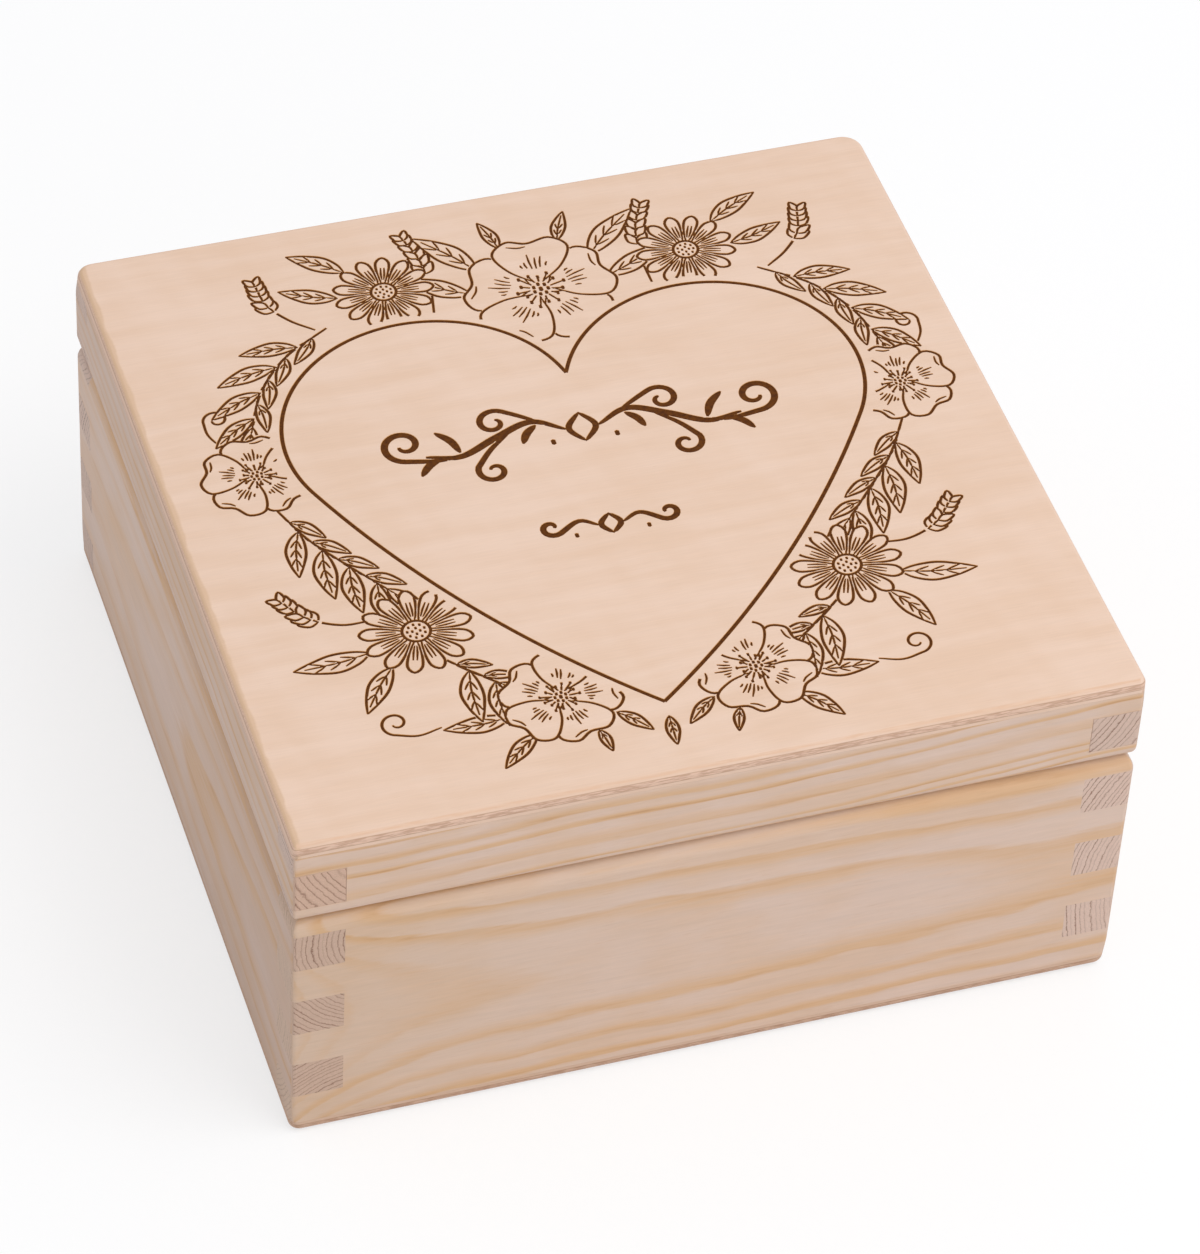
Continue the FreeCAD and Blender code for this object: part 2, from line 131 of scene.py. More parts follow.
class Signal:
    """A number or colour that changes over a surface."""

    def __init__(self, recipe, socket):
        self.recipe = recipe
        self.socket = socket

    def math(self, operation, *others):
        return self.recipe.math(operation, self, *others)

    def __add__(self, other):
        return self.math("ADD", other)

    def __sub__(self, other):
        return self.math("SUBTRACT", other)

    def __rsub__(self, other):
        return self.recipe.math("SUBTRACT", other, self)

    def __mul__(self, other):
        return self.math("MULTIPLY", other)

    def __truediv__(self, other):
        return self.math("DIVIDE", other)

    __radd__ = __add__
    __rmul__ = __mul__

    def between(self, low, high):
        """0 below low, 1 above high and a soft rise from one to the other."""
        inputs = {"Value": self, "From Min": low, "From Max": high}
        node = self.recipe.node("MapRange", inputs, interpolation_type="SMOOTHSTEP")
        return Signal(self.recipe, node.outputs["Result"])


class Recipe:
    """The nodes of a material or a world, added by calls and sums."""

    def __init__(self, owner):
        self.owner = owner
        owner.use_nodes = True
        self.tree = owner.node_tree
        self.tree.nodes.clear()

    def node(self, kind, inputs, **settings):
        made = self.tree.nodes.new(f"ShaderNode{kind}")
        for setting, choice in settings.items():
            setattr(made, setting, choice)
        for name, given in inputs.items():
            if isinstance(given, Signal):
                self.tree.links.new(given.socket, made.inputs[name])
            else:
                made.inputs[name].default_value = given
        return made

    def math(self, operation, *numbers):
        made = self.node("Math", dict(enumerate(numbers)), operation=operation)
        return Signal(self, made.outputs[0])

    def place(self):
        """The three coordinates of the surface, in millimetres in the box's own frame."""
        spot = self.node("TexCoord", {}).outputs["Object"]
        split = self.node("SeparateXYZ", {"Vector": Signal(self, spot)})
        return [Signal(self, out) * 1000 for out in split.outputs]

    def facing(self):
        """How squarely the surface faces along X, Y and Z, from 0 to 1."""
        normal = self.node("TexCoord", {}).outputs["Normal"]
        split = self.node("SeparateXYZ", {"Vector": Signal(self, normal)})
        return [Signal(self, out).math("ABSOLUTE") for out in split.outputs]

    def noise(self, x, y, z, detail=2.0, roughness=0.5):
        """Cloudy noise around 0.5, one unit from blob to blob."""
        spot = self.node("CombineXYZ", {"X": x, "Y": y, "Z": z})
        inputs = {"Vector": Signal(self, spot.outputs[0]), "Scale": 1.0, "Detail": detail}
        inputs["Roughness"] = roughness
        return Signal(self, self.node("TexNoise", inputs).outputs[0])

    def blend(self, share, first, second, mode="MIX"):
        made = self.node("Mix", {0: share, 6: first, 7: second}, data_type="RGBA", blend_type=mode)
        return Signal(self, made.outputs[2])

    def ramp(self, share, stops):
        """A run of numbers or colours, each at its share of the way."""
        made = self.node("ValToRGB", {"Fac": share})
        ramp = made.color_ramp
        while len(ramp.elements) < len(stops):
            ramp.elements.new(1.0)
        for element, (position, shade) in zip(ramp.elements, stops):
            element.position = position
            element.color = shade if isinstance(shade, tuple) else (shade, shade, shade, 1.0)
        return Signal(self, made.outputs["Color"])

    def finish(self, colour, roughness, relief, relief_depth, **constants):
        """The shader itself, with relief as fine bumps of that depth in millimetres."""
        bump_inputs = {"Height": relief, "Distance": relief_depth * MM, "Strength": 1.0}
        bump = Signal(self, self.node("Bump", bump_inputs).outputs[0])
        inputs = {"Base Color": colour, "Roughness": roughness, "Normal": bump}
        inputs.update({name.replace("_", " "): given for name, given in constants.items()})
        return self.close(Signal(self, self.node("BsdfPrincipled", inputs).outputs[0]))

    def close(self, surface, kind="Material"):
        """The last node, and the finished material or world."""
        self.node(f"Output{kind}", {"Surface": surface})
        return self.owner


def new_material(name):
    return Recipe(bpy.data.materials.new(name))


print("Material helpers ready")

# %% [markdown]
# ## Floor and studio light
#
# The box stands on a white sweep. One large soft lamp high on the right lets its shadow fall to the left.
# Lamps bright enough to burn the floor out to white would burn out the pale wood too.
# So the floor keeps its plain paint for the light, and only the camera and mirrors see it whitened.

# %% Floor and world
FLOOR_SIZE = 12.0
FLOOR_DROP = 0.05 * MM
FLOOR_WHITENING = 0.66
FLOOR_GREY = tint(228, 229, 231)
FLOOR_GREY_LIGHT = tint(234, 234, 235)
WORLD_STRENGTH = 0.62
WORLD_COLOUR = tint(246, 249, 255)
WHITE = tint(255, 255, 255)
LAMPS = {
    "key_lamp": ((0.7, -0.72, 1.85), 1.4, 19.8, tint(255, 251, 247)),
    "front_fill": ((0.3, -2.2, 0.9), 1.6, 4.2, tint(255, 251, 247)),
    "left_fill": ((-1.9, 0.6, 1.0), 1.6, 3.0, tint(240, 246, 255)),
    "back_fill": ((0.8, 2.2, 1.3), 1.6, 5.0, tint(252, 250, 250)),
}


def seen_rays(recipe):
    """1 for rays from the camera, mirrors and glass, and 0 for the light."""
    path = recipe.node("LightPath", {})
    camera_ray, mirror_ray, glass_ray = (
        Signal(recipe, path.outputs[f"Is {kind} Ray"]) for kind in ("Camera", "Glossy", "Transmission")
    )
    return camera_ray.math("MAXIMUM", mirror_ray).math("MAXIMUM", glass_ray)


def whitened(recipe, plain, share):
    """A surface or a sky that is mixed with a white glow by some share."""
    glow = recipe.node("Emission", {"Color": WHITE, "Strength": 1.0})
    plain, glow = (Signal(recipe, node.outputs[0]) for node in (plain, glow))
    mixed = recipe.node("MixShader", {0: share, 1: plain, 2: glow})
    return Signal(recipe, mixed.outputs[0])


def floor_paint():
    paint = new_material("floor_paint")
    x, y, z = paint.place()
    seen = seen_rays(paint)
    mottle = paint.noise(x / 40, y / 40, z, detail=3.0)
    grey = paint.blend(mottle, FLOOR_GREY, FLOOR_GREY_LIGHT)
    matt = paint.node("BsdfDiffuse", {"Color": paint.blend(seen, grey, WHITE)})
    return paint.close(whitened(paint, matt, seen * FLOOR_WHITENING))


floor_mesh = bpy.data.meshes.new("floor")
half_floor = FLOOR_SIZE / 2
floor_square = [(x * half_floor, y * half_floor) for x, y in ((-1, -1), (1, -1), (1, 1), (-1, 1))]
floor_mesh.from_pydata([(x, y, -FLOOR_DROP) for x, y in floor_square], [], [(0, 1, 2, 3)])
floor_mesh.materials.append(floor_paint())
floor = add_to_scene("floor", floor_mesh)


def studio_world():
    """A plain grey world that lights the box, and looks white where it is seen."""
    world = Recipe(bpy.data.worlds.new("studio"))
    light = world.node("Background", {"Color": WORLD_COLOUR, "Strength": WORLD_STRENGTH})
    return world.close(whitened(world, light, seen_rays(world)), kind="World")


def lamp(name, place, size, power, colour):
    """A square soft lamp, so many metres wide and so many watts strong, that points at the box."""
    light = bpy.data.lights.new(name, "AREA")
    light.size = size
    light.energy = power
    light.color = colour[:3]
    item = add_to_scene(name, light)
    item.location = place
    item.rotation_euler = (box_middle - Vector(place)).to_track_quat("-Z", "Y").to_euler()


scene.world = studio_world()
for lamp_name, settings in LAMPS.items():
    lamp(lamp_name, *settings)
scene.view_settings.view_transform = "Standard"
print("Floor", FLOOR_SIZE, "m wide,", len(LAMPS), "lamps")

# %% [markdown]
# ## Pine
#
# A pine board is a slice of a trunk. Each year, pale spring wood turns slowly into darker summer wood.
# Painted stripes would not match where a face meets an edge, so the rings are worked out in space instead.
# Each board says where the heart of its trunk lay. The distance to it, wandering a little, gives the ring.
# The same rings then show as flames on a face, fine lines on a quarter-cut strip, and arcs on end grain.

# %% Pine recipe
PINE_SPRING = tint(225, 199, 182)
PINE_SPRING_WARM = tint(223, 193, 170)
PINE_SUMMER = tint(223, 183, 144)
PINE_RESIN = tint(206, 160, 116)
END_SPRING = tint(222, 194, 177)
END_SUMMER = tint(128, 84, 60)
UNTINTED = (1.0, 1.0, 1.0, 1.0)
ALONG_X, ALONG_Y = 0, 1
SUMMER_STOPS = [(0.0, 0.05), (0.45, 0.03), (0.62, 0.55), (0.76, 1.0), (0.9, 0.95), (0.99, 0.2)]
LATE_STOPS = [(0.0, 0.05), (0.6, 0.02), (0.76, 0.3), (0.87, 1.0), (0.94, 0.6), (0.99, 0.05)]


def drawn_out(wood, spot, length, width, seed, **settings):
    """Noise that is drawn out along the fibres, so long and so wide in mm."""
    along, across, height = spot
    return wood.noise(along / length, across / width, height / width + seed, **settings)


def heart_of_trunk(height, hearts):
    """Where the heart of the trunk lay, across and in height. Each stave glued on top begins at its foot."""
    foot, across, level = hearts[0]
    heart_across, heart_level = across, level
    for foot, next_across, next_level in hearts[1:]:
        is_above = height.math("GREATER_THAN", foot)
        heart_across = is_above * (next_across - across) + heart_across
        heart_level = is_above * (next_level - level) + heart_level
        across, level = next_across, next_level
    return heart_across, heart_level


def pine(
    name, grain, hearts, ring, end_hearts=None, end_ring=1.3, end_tint=UNTINTED, end_figure=1.0,
    lean=(0.0, 0.0), swell=None, calm=None, shade=None, phase=0.0, wander=3.0, sway=1.6, unevenness=0.9,
    figure=1.0, resin=0.45, rim=None, seed=0.0
):
    """Pine for one board. ring is the width of a year ring, and wander how far it strays, both in mm.

    lean and swell move the heart along the board, and calm fades the rings on one side of a radius.
    shade paints shade over the board towards an end, and rim is where a golden stripe of painted warm shade
    rises.
    figure and resin are strengths.
    """
    wood = new_material(name)
    place = wood.place()
    along, across, height = spot = place[grain], place[1 - grain], place[2]
    is_end = wood.facing()[grain].between(0.55, 0.85)
    heart_across, heart_level = heart_of_trunk(height, hearts)
    end_across, end_level = heart_of_trunk(height, end_hearts or hearts)
    heart_across = is_end * (end_across - heart_across) + heart_across + along * lean[0]
    heart_level = is_end * (end_level - heart_level) + heart_level + along * lean[1]
    if swell:
        depth, start, reach = swell
        heart_across = heart_across - ((start - along) / reach).math("EXPONENT") * depth
    drift_across = drawn_out(wood, spot, 90, 45, seed) - 0.5
    drift_height = wood.noise(along / 90 + seed, across / 45 + 7.3, height / 45) - 0.5
    off_across = across + drift_across * wander - heart_across
    off_height = height + drift_height * (wander * 2) - heart_level
    lilt = (drawn_out(wood, spot, 32, 16, seed + 2.0) - 0.5) * sway
    radius = (off_across * off_across + off_height * off_height).math("SQRT") + lilt
    ripple = (drawn_out(wood, spot, 24, 1.6, seed, detail=4.0, roughness=0.6) - 0.5) * 1.1
    pace = (wood.noise(radius / (ring * 2.5), seed, 0.0, detail=0.0) - 0.5) * unevenness
    end_pace = (wood.noise(radius / 2.4, seed + 5.0, 0.0, detail=0.0) - 0.5) * 1.2
    width = is_end * (end_ring - ring) + ring
    year = (radius + ripple) / width + is_end * (end_pace - pace) + pace + phase
    season = year.math("FRACT")
    strength = wood.noise(year.math("FLOOR") * 0.77, seed + 3.1, 0.0, detail=0.0).between(0.25, 0.7)
    summer = wood.ramp(season, SUMMER_STOPS)
    late = wood.ramp(season, LATE_STOPS)
    fibre = drawn_out(wood, spot, 8, 0.45, seed, detail=3.0)
    streak = drawn_out(wood, spot, 26, 1.6, seed, detail=3.0)
    blotch = drawn_out(wood, spot, 18, 9, seed, detail=3.0)
    patch = wood.noise(along / 60, across / 30, height / 22 + seed)
    fleck = drawn_out(wood, spot, 5, 0.3, seed, detail=1.0).between(0.64, 0.78)
    speck = drawn_out(wood, spot, 1, 0.4, seed, detail=2.0)

    band = summer * (strength * 0.5 + 0.5) * (patch.between(0.3, 0.62) * 0.35 + 0.65) * figure
    if calm:
        band = band * (radius.between(*calm) * 0.62 + 0.38)
    # Painted warm shade: a golden stripe over the upper rim, where the lid's overhang shades the groove.
    if rim:
        band = band.math("MAXIMUM", height.between(*rim) * (streak.between(0.32, 0.6) * 0.75 + 0.25))
    face = wood.blend((patch * 0.6 + blotch * 0.4).between(0.4, 0.63), PINE_SPRING, PINE_SPRING_WARM)
    face = wood.blend(band, face, PINE_SUMMER)
    face = wood.blend(late * band * streak.between(0.42, 0.66) * resin, face, PINE_RESIN)
    face = wood.blend(fleck * 0.2, face, PINE_RESIN)
    dotted = speck.between(0.3, 0.52) * 0.7 + 0.3
    end = wood.blend(late * dotted * (strength * 0.7 + 0.3) * end_figure, END_SPRING, END_SUMMER)
    end = wood.blend(1.0, end, end_tint, mode="MULTIPLY")
    end = wood.blend(1.0, end, wood.ramp(speck, [(0.3, 0.88), (0.65, 1.0)]), mode="MULTIPLY")
    colour = wood.blend(is_end, face, end)
    grain_shade = wood.ramp(fibre * 0.5 + streak * 0.5, [(0.25, 0.905), (0.7, 1.0)])
    colour = wood.blend(1.0, colour, grain_shade, mode="MULTIPLY")
    # Painted shade: the board darkens and warms towards one end, for the way the light falls on the box.
    if shade:
        from_end, to_end, tone = shade
        colour = wood.blend(along.between(from_end, to_end), colour, tone, mode="MULTIPLY")
    relief = fibre * 0.6 + band * 0.4 + is_end * speck
    dullness = 0.58 + fibre * 0.14 - band * 0.06
    return wood.finish(colour, dullness, relief, 0.025, Specular_IOR_Level=0.3)


print("Pine recipe ready")

# %% [markdown]
# ## Plywood
#
# The lid's top and the bottom are sheets of three plies, with the grain of the middle ply turned across.
# So the front edge shows the dark end grain of the core, and the side edges show that of the two faces.
# The face is peeled off a turning log, which leaves a calm figure of faint waves and short pores.
# Where the lid is engraved, a value named burn, kept in the mesh, chars the wood.

# %% Plywood recipe
PLY_FACE_LIGHT = tint(236, 207, 186)
PLY_FACE_DARK = tint(230, 198, 173)
PLY_PORE = tint(214, 174, 144)
PLY_EDGE = tint(232, 198, 175)
PLY_END = tint(214, 178, 154)
PLY_CORE = tint(206, 168, 143)
PLY_GLUE = tint(186, 147, 120)
PLY_LIP = tint(227, 190, 162)
PLY_LIP_END = tint(218, 183, 150)
BURN_HALO = tint(212, 148, 62)
BURN_BROWN = tint(98, 52, 0)
BURN_DARK = tint(76, 36, 0)
PLY_SHARES = (0.27, 0.73)
GLUE_LINE = 0.12


def plywood(name, foot, thickness, seed, engraved=False, painted_edge_shade=UNTINTED, sanded_to=None):
    """Three-ply sheet with its face grain along X. Left of sanded_to, the face ply is sanded thin."""
    ply = new_material(name)
    x, y, z = ply.place()
    faces_x, faces_y, faces_z = ply.facing()
    lower, upper = (foot + thickness * share for share in PLY_SHARES)
    in_core = (z - lower).math("MULTIPLY", upper - z).math("GREATER_THAN", 0.0)
    near_glue = (z - lower).math("ABSOLUTE").math("MINIMUM", (z - upper).math("ABSOLUTE"))
    glue = 1.0 - near_glue.between(GLUE_LINE * 0.5, GLUE_LINE * 1.6)

    bend = (ply.noise(x / 60, y / 28, seed) - 0.5) * 9
    wave = ply.noise(x / 48 + seed, (y + bend) / 5.5, seed, detail=3.0)
    cloud = ply.noise(x / 55, y / 40, seed + 4.0, detail=1.0)
    shimmer = ply.noise(x / 9 + y / 30, y / 60, seed + 9.0, detail=1.0)
    fibre = ply.noise(x / 10, y / 0.4, seed, detail=3.0)
    pore = ply.noise(x / 3.2, y / 0.22, seed + 2.0, detail=1.0).between(0.68, 0.8)
    figure = wave * 0.55 + cloud * 0.25 + shimmer * 0.2
    face = ply.blend(figure.between(0.34, 0.66), PLY_FACE_DARK, PLY_FACE_LIGHT)
    face = ply.blend(pore * 0.3, face, PLY_PORE)
    if sanded_to is not None:
        ragged = x + (ply.noise(x / 8, y / 9, seed + 3.0, detail=3.0) - 0.5) * 2.4
        face = ply.blend(ragged.between(sanded_to + 0.4, sanded_to - 0.4) * 0.75, face, PLY_LIP_END)

    side_fibre = ply.noise(x / 6, y / 6, z / 0.25, detail=3.0)
    end_fibre = ply.noise(x / 0.35, y / 0.35, z / 0.5, detail=2.0)
    long_side = ply.blend(side_fibre.between(0.35, 0.7), PLY_EDGE, PLY_FACE_DARK)
    end = ply.blend(end_fibre.between(0.3, 0.7), PLY_END, PLY_EDGE)
    core_streak = ply.noise(x / 3, y / 3, z / 0.35, detail=3.0).between(0.38, 0.6)
    core = ply.blend(faces_y.between(0.3, 0.7), long_side, ply.blend(core_streak, PLY_CORE, PLY_EDGE))
    skin = ply.blend(faces_x.between(0.35, 0.8), face, end)
    edge = ply.blend(in_core, skin, core)
    edge = ply.blend(glue * 0.6, edge, PLY_GLUE)
    on_round = faces_z.between(0.55, 0.8) * (side_fibre.between(0.35, 0.6) * 0.6 + 0.4)
    lip_end = ply.blend(x.between(-20, 20), PLY_LIP_END, PLY_FACE_LIGHT)
    edge = ply.blend(on_round, edge, ply.blend(faces_x.between(0.1, 0.3), PLY_LIP, lip_end))
    # Painted shade: this tone darkens the edges of the sheet.
    edge = ply.blend(1.0, edge, painted_edge_shade, mode="MULTIPLY")
    colour = ply.blend(faces_z.between(0.94, 0.985), edge, face)
    shade = ply.ramp(fibre, [(0.3, 0.955), (0.7, 1.0)])
    colour = ply.blend(1.0, colour, shade, mode="MULTIPLY")
    dullness = 0.55 + fibre * 0.14
    relief = fibre * 0.6 + pore * 0.3
    if engraved:
        burn = Signal(ply, ply.node("Attribute", {}, attribute_name="burn").outputs["Fac"])
        soot = ply.noise(x / 1.1, y / 1.1, seed + 1.0, detail=2.0)
        char = ply.blend(soot.between(0.35, 0.7), BURN_BROWN, BURN_DARK)
        colour = ply.blend(burn.between(0.0, 0.35) * 0.9, colour, BURN_HALO)
        colour = ply.blend(burn.between(0.33, 0.7), colour, char)
        dullness = dullness + burn * 0.2
    return ply.finish(colour, dullness, relief, 0.012, Specular_IOR_Level=0.2)


print("Plywood recipe ready")

# %% [markdown]
# ## Boards with fingers and rounded rims
#
# Real boards are sawn with fingers, glued, and only then rounded with a router, right across the joints.
# A boolean for each cut would leave long thin triangles, which shade badly and export badly.
# Here a board is a stack of box-shaped cells instead. Cells that are wood stay, and their outside is kept.
# Then the corners near an edge are pulled onto a quarter circle, just as the router rounds the glued box.
# Sanding rounds the upright corners most at the top and at the foot, so there the circle grows.

# %% Cells and rounding
BOX_HALF = cad_box[1][0] / MM
BOX_TOP = cad_box[1][2] / MM
ROUND_STEPS = 4
CORNER_STEPS = 2
FOOT_STEPS = 3
CORNER_ROUND = 1.3
WORN_ROUNDS = {(-1, -1): 1.3, (1, -1): 2.2, (-1, 1): 4.5, (1, 1): 5.5}
MOST_WORN = max(WORN_ROUNDS.values())
WORN_FOOT = 95.0
FOOT_ROUND = 3.2
FOOT_HEIGHT = 9.0
MITRE_REACH = 7.0


def near_edge(level, side, radius, steps=ROUND_STEPS):
    """Where cells are cut so that they turn into even steps of a quarter circle. side is the way out."""
    shares = np.tan(np.linspace(0.0, math.pi / 4, steps + 1))
    return [level - side * radius * (1 - share) for share in shares]


def skin_of_cells(cuts, is_wood):
    """Corners and four-sided faces of the outside of the cells that are wood."""
    cuts = [np.unique(np.round(places, 4)) for places in cuts]
    middles = [(places[:-1] + places[1:]) / 2 for places in cuts]
    wood = np.array([[[is_wood(x, y, z) for z in middles[2]] for y in middles[1]] for x in middles[0]])
    walled = np.pad(wood, 1)
    numbers = {}
    faces = []
    for axis in range(3):
        next_axis, last_axis = (axis + 1) % 3, (axis + 2) % 3
        for side in (0, 1):
            bare = walled & ~np.roll(walled, 1 - 2 * side, axis)
            for cell in np.argwhere(bare) - 1:
                ring = ((0, 0), (1, 0), (1, 1), (0, 1)) if side else ((0, 0), (0, 1), (1, 1), (1, 0))
                face = []
                for step, last_step in ring:
                    corner = list(cell)
                    corner[axis] += side
                    corner[next_axis] += step
                    corner[last_axis] += last_step
                    face.append(numbers.setdefault(tuple(corner), len(numbers)))
                faces.append(face)
    corners = np.array([[cuts[axis][corner[axis]] for axis in range(3)] for corner in numbers])
    return corners, faces


def on_circle(first, second):
    """Two shares across a square edge, each 1 at its face, bent onto a quarter circle where both count."""
    inside = (first > 0) & (second > 0)
    pull = np.where(inside, np.maximum(first, second) / np.maximum(np.hypot(first, second), 1e-9), 1.0)
    return first * pull, second * pull


def round_rim(corners, level, side, radius):
    """Rounds the edge all round at one level. Near a corner both ways are drawn in, as on a mitre."""
    plan = corners[:, :2]
    reach = np.abs(plan)
    outermost = reach.max(axis=1)
    out, up = on_circle(1 - (BOX_HALF - outermost) / radius, 1 - side * (level - corners[:, 2]) / radius)
    drawn_in = outermost - BOX_HALF + radius * (1 - out)
    mitre = (1 - (outermost[:, None] - reach) / MITRE_REACH).clip(0, 1)
    corners[:, :2] = plan - np.sign(plan) * mitre * drawn_in[:, None]
    corners[:, 2] = level - side * radius * (1 - up)


def round_corners(corners):
    """Rounds the upright corners, worn more at the foot, and each to a radius of its own at the top."""
    wear = ((corners[:, 2] - WORN_FOOT) / (BOX_TOP - WORN_FOOT)).clip(0, 1)
    foot_wear = (1 - corners[:, 2] / FOOT_HEIGHT).clip(0, 1)
    for sides, worn in WORN_ROUNDS.items():
        radius = CORNER_ROUND + (worn - CORNER_ROUND) * wear * wear * (3 - 2 * wear)
        radius = radius + (FOOT_ROUND - CORNER_ROUND) * foot_wear
        shares = [1 - (BOX_HALF - side * corners[:, axis]) / radius for axis, side in enumerate(sides)]
        for axis, share in enumerate(on_circle(*shares)):
            corners[:, axis] = sides[axis] * (BOX_HALF - radius * (1 - share))


def round_form(corners, rim):
    """Rounds one rim, given as its level, side and radius, and then the upright corners."""
    round_rim(corners, *rim)
    round_corners(corners)


print("Half the box is", round(BOX_HALF, 2), "mm")

# %% [markdown]
# ## From cells to a finished piece
#
# Sanding takes the last sharpness off every edge, and that is what makes the glue lines of a joint show.
# A narrow bevel modifier does the same, and a weighted-normal modifier keeps the wide faces looking flat.
# Each piece then hides the node of the construction that it stands for, and is attached to the body it moves
# with.

# %% Pieces
SANDED_EDGE = 0.2
SHARP_ANGLE = math.radians(60)


def make_piece(name, corners, faces, finish, node, body):
    mesh = bpy.data.meshes.new(name)
    mesh.from_pydata((np.array(corners) * MM).tolist(), [], faces)
    mesh.shade_smooth()
    mesh.materials.append(finish)
    piece = add_to_scene(name, mesh)
    bevel = piece.modifiers.new("sanded_edges", "BEVEL")
    bevel.width = SANDED_EDGE * MM
    bevel.segments = 2
    bevel.limit_method = "ANGLE"
    bevel.angle_limit = SHARP_ANGLE
    weighted = piece.modifiers.new("flat_faces", "WEIGHTED_NORMAL")
    weighted.keep_sharp = True
    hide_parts(node)
    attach(piece, body)
    return piece


def box_mm(node):
    return [np.array(corner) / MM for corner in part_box(node)]


print("Sanded edges", SANDED_EDGE, "mm")

# %% [markdown]
# ## The walls of the base
#
# The front and back walls run the full width and are slotted at their ends. The side walls end in fingers.
# The rim of the base is rounded more than that of the lid, and the two rounds make the groove between them.
# The back wall also has two shallow mortises for the hinge leaves, with more room behind for the knuckles.

# %% Walls
BASE_RIM_ROUND = 5.0
LID_RIM_ROUND = 3.0
# Heights where a golden stripe of painted warm shade rises on the rim, under the overhang of the lid.
BASE_RIM_WARM_SHADE = (75.8, 77.2)
LEFT_RIM_WARM_SHADE = (72.0, 74.0)
FINGER_FOOT, FINGER_HEIGHT, FINGER_PITCH = 14.1, 12.067, 23.367
finger_feet = [FINGER_FOOT + FINGER_PITCH * number for number in range(3)]
BASE_FINGERS = [(foot, foot + FINGER_HEIGHT) for foot in finger_feet]
LID_FINGERS = [(82.7, 94.6)]
HINGE_MIDDLE, MORTISE_HALF = 65.0, 15.3
LEAF_SEAT, KNUCKLE_SEAT = (97.9, 1.0), (105.7, 2.2)


def height_cuts(low, high, rim, fingers):
    """Where a board is cut in height: at both edges, over its rounded rim and at each finger."""
    return [low[2], high[2], *near_edge(*rim), *(edge for pair in fingers for edge in pair)]


def long_board(name, node, body, finish, fingers, rim, hinge_rim=False):
    """A front or back board: slotted ends, one rounded rim and, at the back, mortises for the hinges."""
    low, high = box_mm(node)
    level, side, radius = rim
    slot_depth = high[1] - low[1]
    face_y = low[1] if low[1] < 0 else high[1]
    out = math.copysign(1, face_y)
    x_cuts = [-BOX_HALF + slot_depth, BOX_HALF - slot_depth]
    for end in (-1, 1):
        x_cuts += near_edge(end * BOX_HALF, end, radius)
        x_cuts += near_edge(end * BOX_HALF, end, CORNER_ROUND, CORNER_STEPS)
    y_cuts = [low[1], high[1]] + near_edge(face_y, out, radius)
    y_cuts += near_edge(face_y, out, CORNER_ROUND, CORNER_STEPS)
    z_cuts = height_cuts(low, high, rim, fingers)
    if high[2] > WORN_FOOT:
        x_cuts += near_edge(-BOX_HALF, -1, MOST_WORN) + near_edge(BOX_HALF, 1, MOST_WORN)
        y_cuts += near_edge(face_y, out, MOST_WORN)
        z_cuts += list(np.linspace(WORN_FOOT, high[2], ROUND_STEPS))
    if low[2] < FOOT_HEIGHT:
        z_cuts += list(np.linspace(low[2], FOOT_HEIGHT, FOOT_STEPS))
    if hinge_rim:
        x_cuts += [end * HINGE_MIDDLE + half for end in (-1, 1) for half in (-MORTISE_HALF, MORTISE_HALF)]
        y_cuts += [LEAF_SEAT[0], KNUCKLE_SEAT[0]]
        z_cuts += [level - side * LEAF_SEAT[1], level - side * KNUCKLE_SEAT[1]]

    def is_wood(x, y, z):
        in_slot = abs(x) > BOX_HALF - slot_depth and any(foot < z < top for foot, top in fingers)
        at_hinge = hinge_rim and abs(abs(x) - HINGE_MIDDLE) < MORTISE_HALF
        below_rim = side * (level - z)
        in_seat = any(y > front and below_rim < deep for front, deep in (LEAF_SEAT, KNUCKLE_SEAT))
        return not (in_slot or (at_hinge and in_seat))

    corners, faces = skin_of_cells((x_cuts, y_cuts, z_cuts), is_wood)
    round_form(corners, rim)
    return make_piece(name, corners, faces, finish, node, body)


def side_board(name, node, body, finish, fingers, rim):
    """A side board, with fingers at both ends and one rounded rim."""
    low, high = box_mm(node)
    level, side, radius = rim
    thickness = high[0] - low[0]
    face_x = low[0] if low[0] < 0 else high[0]
    out = math.copysign(1, face_x)
    x_cuts = [low[0], high[0]] + near_edge(face_x, out, radius)
    x_cuts += near_edge(face_x, out, CORNER_ROUND, CORNER_STEPS)
    y_cuts = [-BOX_HALF + thickness, BOX_HALF - thickness]
    for end in (-1, 1):
        y_cuts += near_edge(end * BOX_HALF, end, CORNER_ROUND, CORNER_STEPS)
    z_cuts = height_cuts(low, high, rim, fingers)

    def is_wood(x, y, z):
        return abs(y) < BOX_HALF - thickness or any(foot < z < top for foot, top in fingers)

    corners, faces = skin_of_cells((x_cuts, y_cuts, z_cuts), is_wood)
    round_form(corners, rim)
    return make_piece(name, corners, faces, finish, node, body)


# Painted shade: the front board darkens and warms towards its left end, the left board towards its front
# end, and the lid's left strip all over. LEFT_END_TONE and LID_LEFT_END_TONE tint the end grain of those
# boards and take back part of that painted shade.
FRONT_PAINTED_SHADE = (0.92, 0.88, 0.77, 1.0)
LEFT_PAINTED_SHADE = (0.86, 0.83, 0.815, 1.0)
LID_LEFT_PAINTED_SHADE = (0.93, 0.92, 0.915, 1.0)
LEFT_END_TONE = (1.05, 1.03, 0.976, 1.0)
LID_LEFT_END_TONE = (1.054, 0.978, 0.896, 1.0)
RIGHT_END_TONE = (1.06, 1.06, 1.07, 1.0)
base_rim = (box_mm("base_front_wall")[1][2], 1, BASE_RIM_ROUND)
lid_rim = (box_mm("lid_front_strip")[0][2], -1, LID_RIM_ROUND)

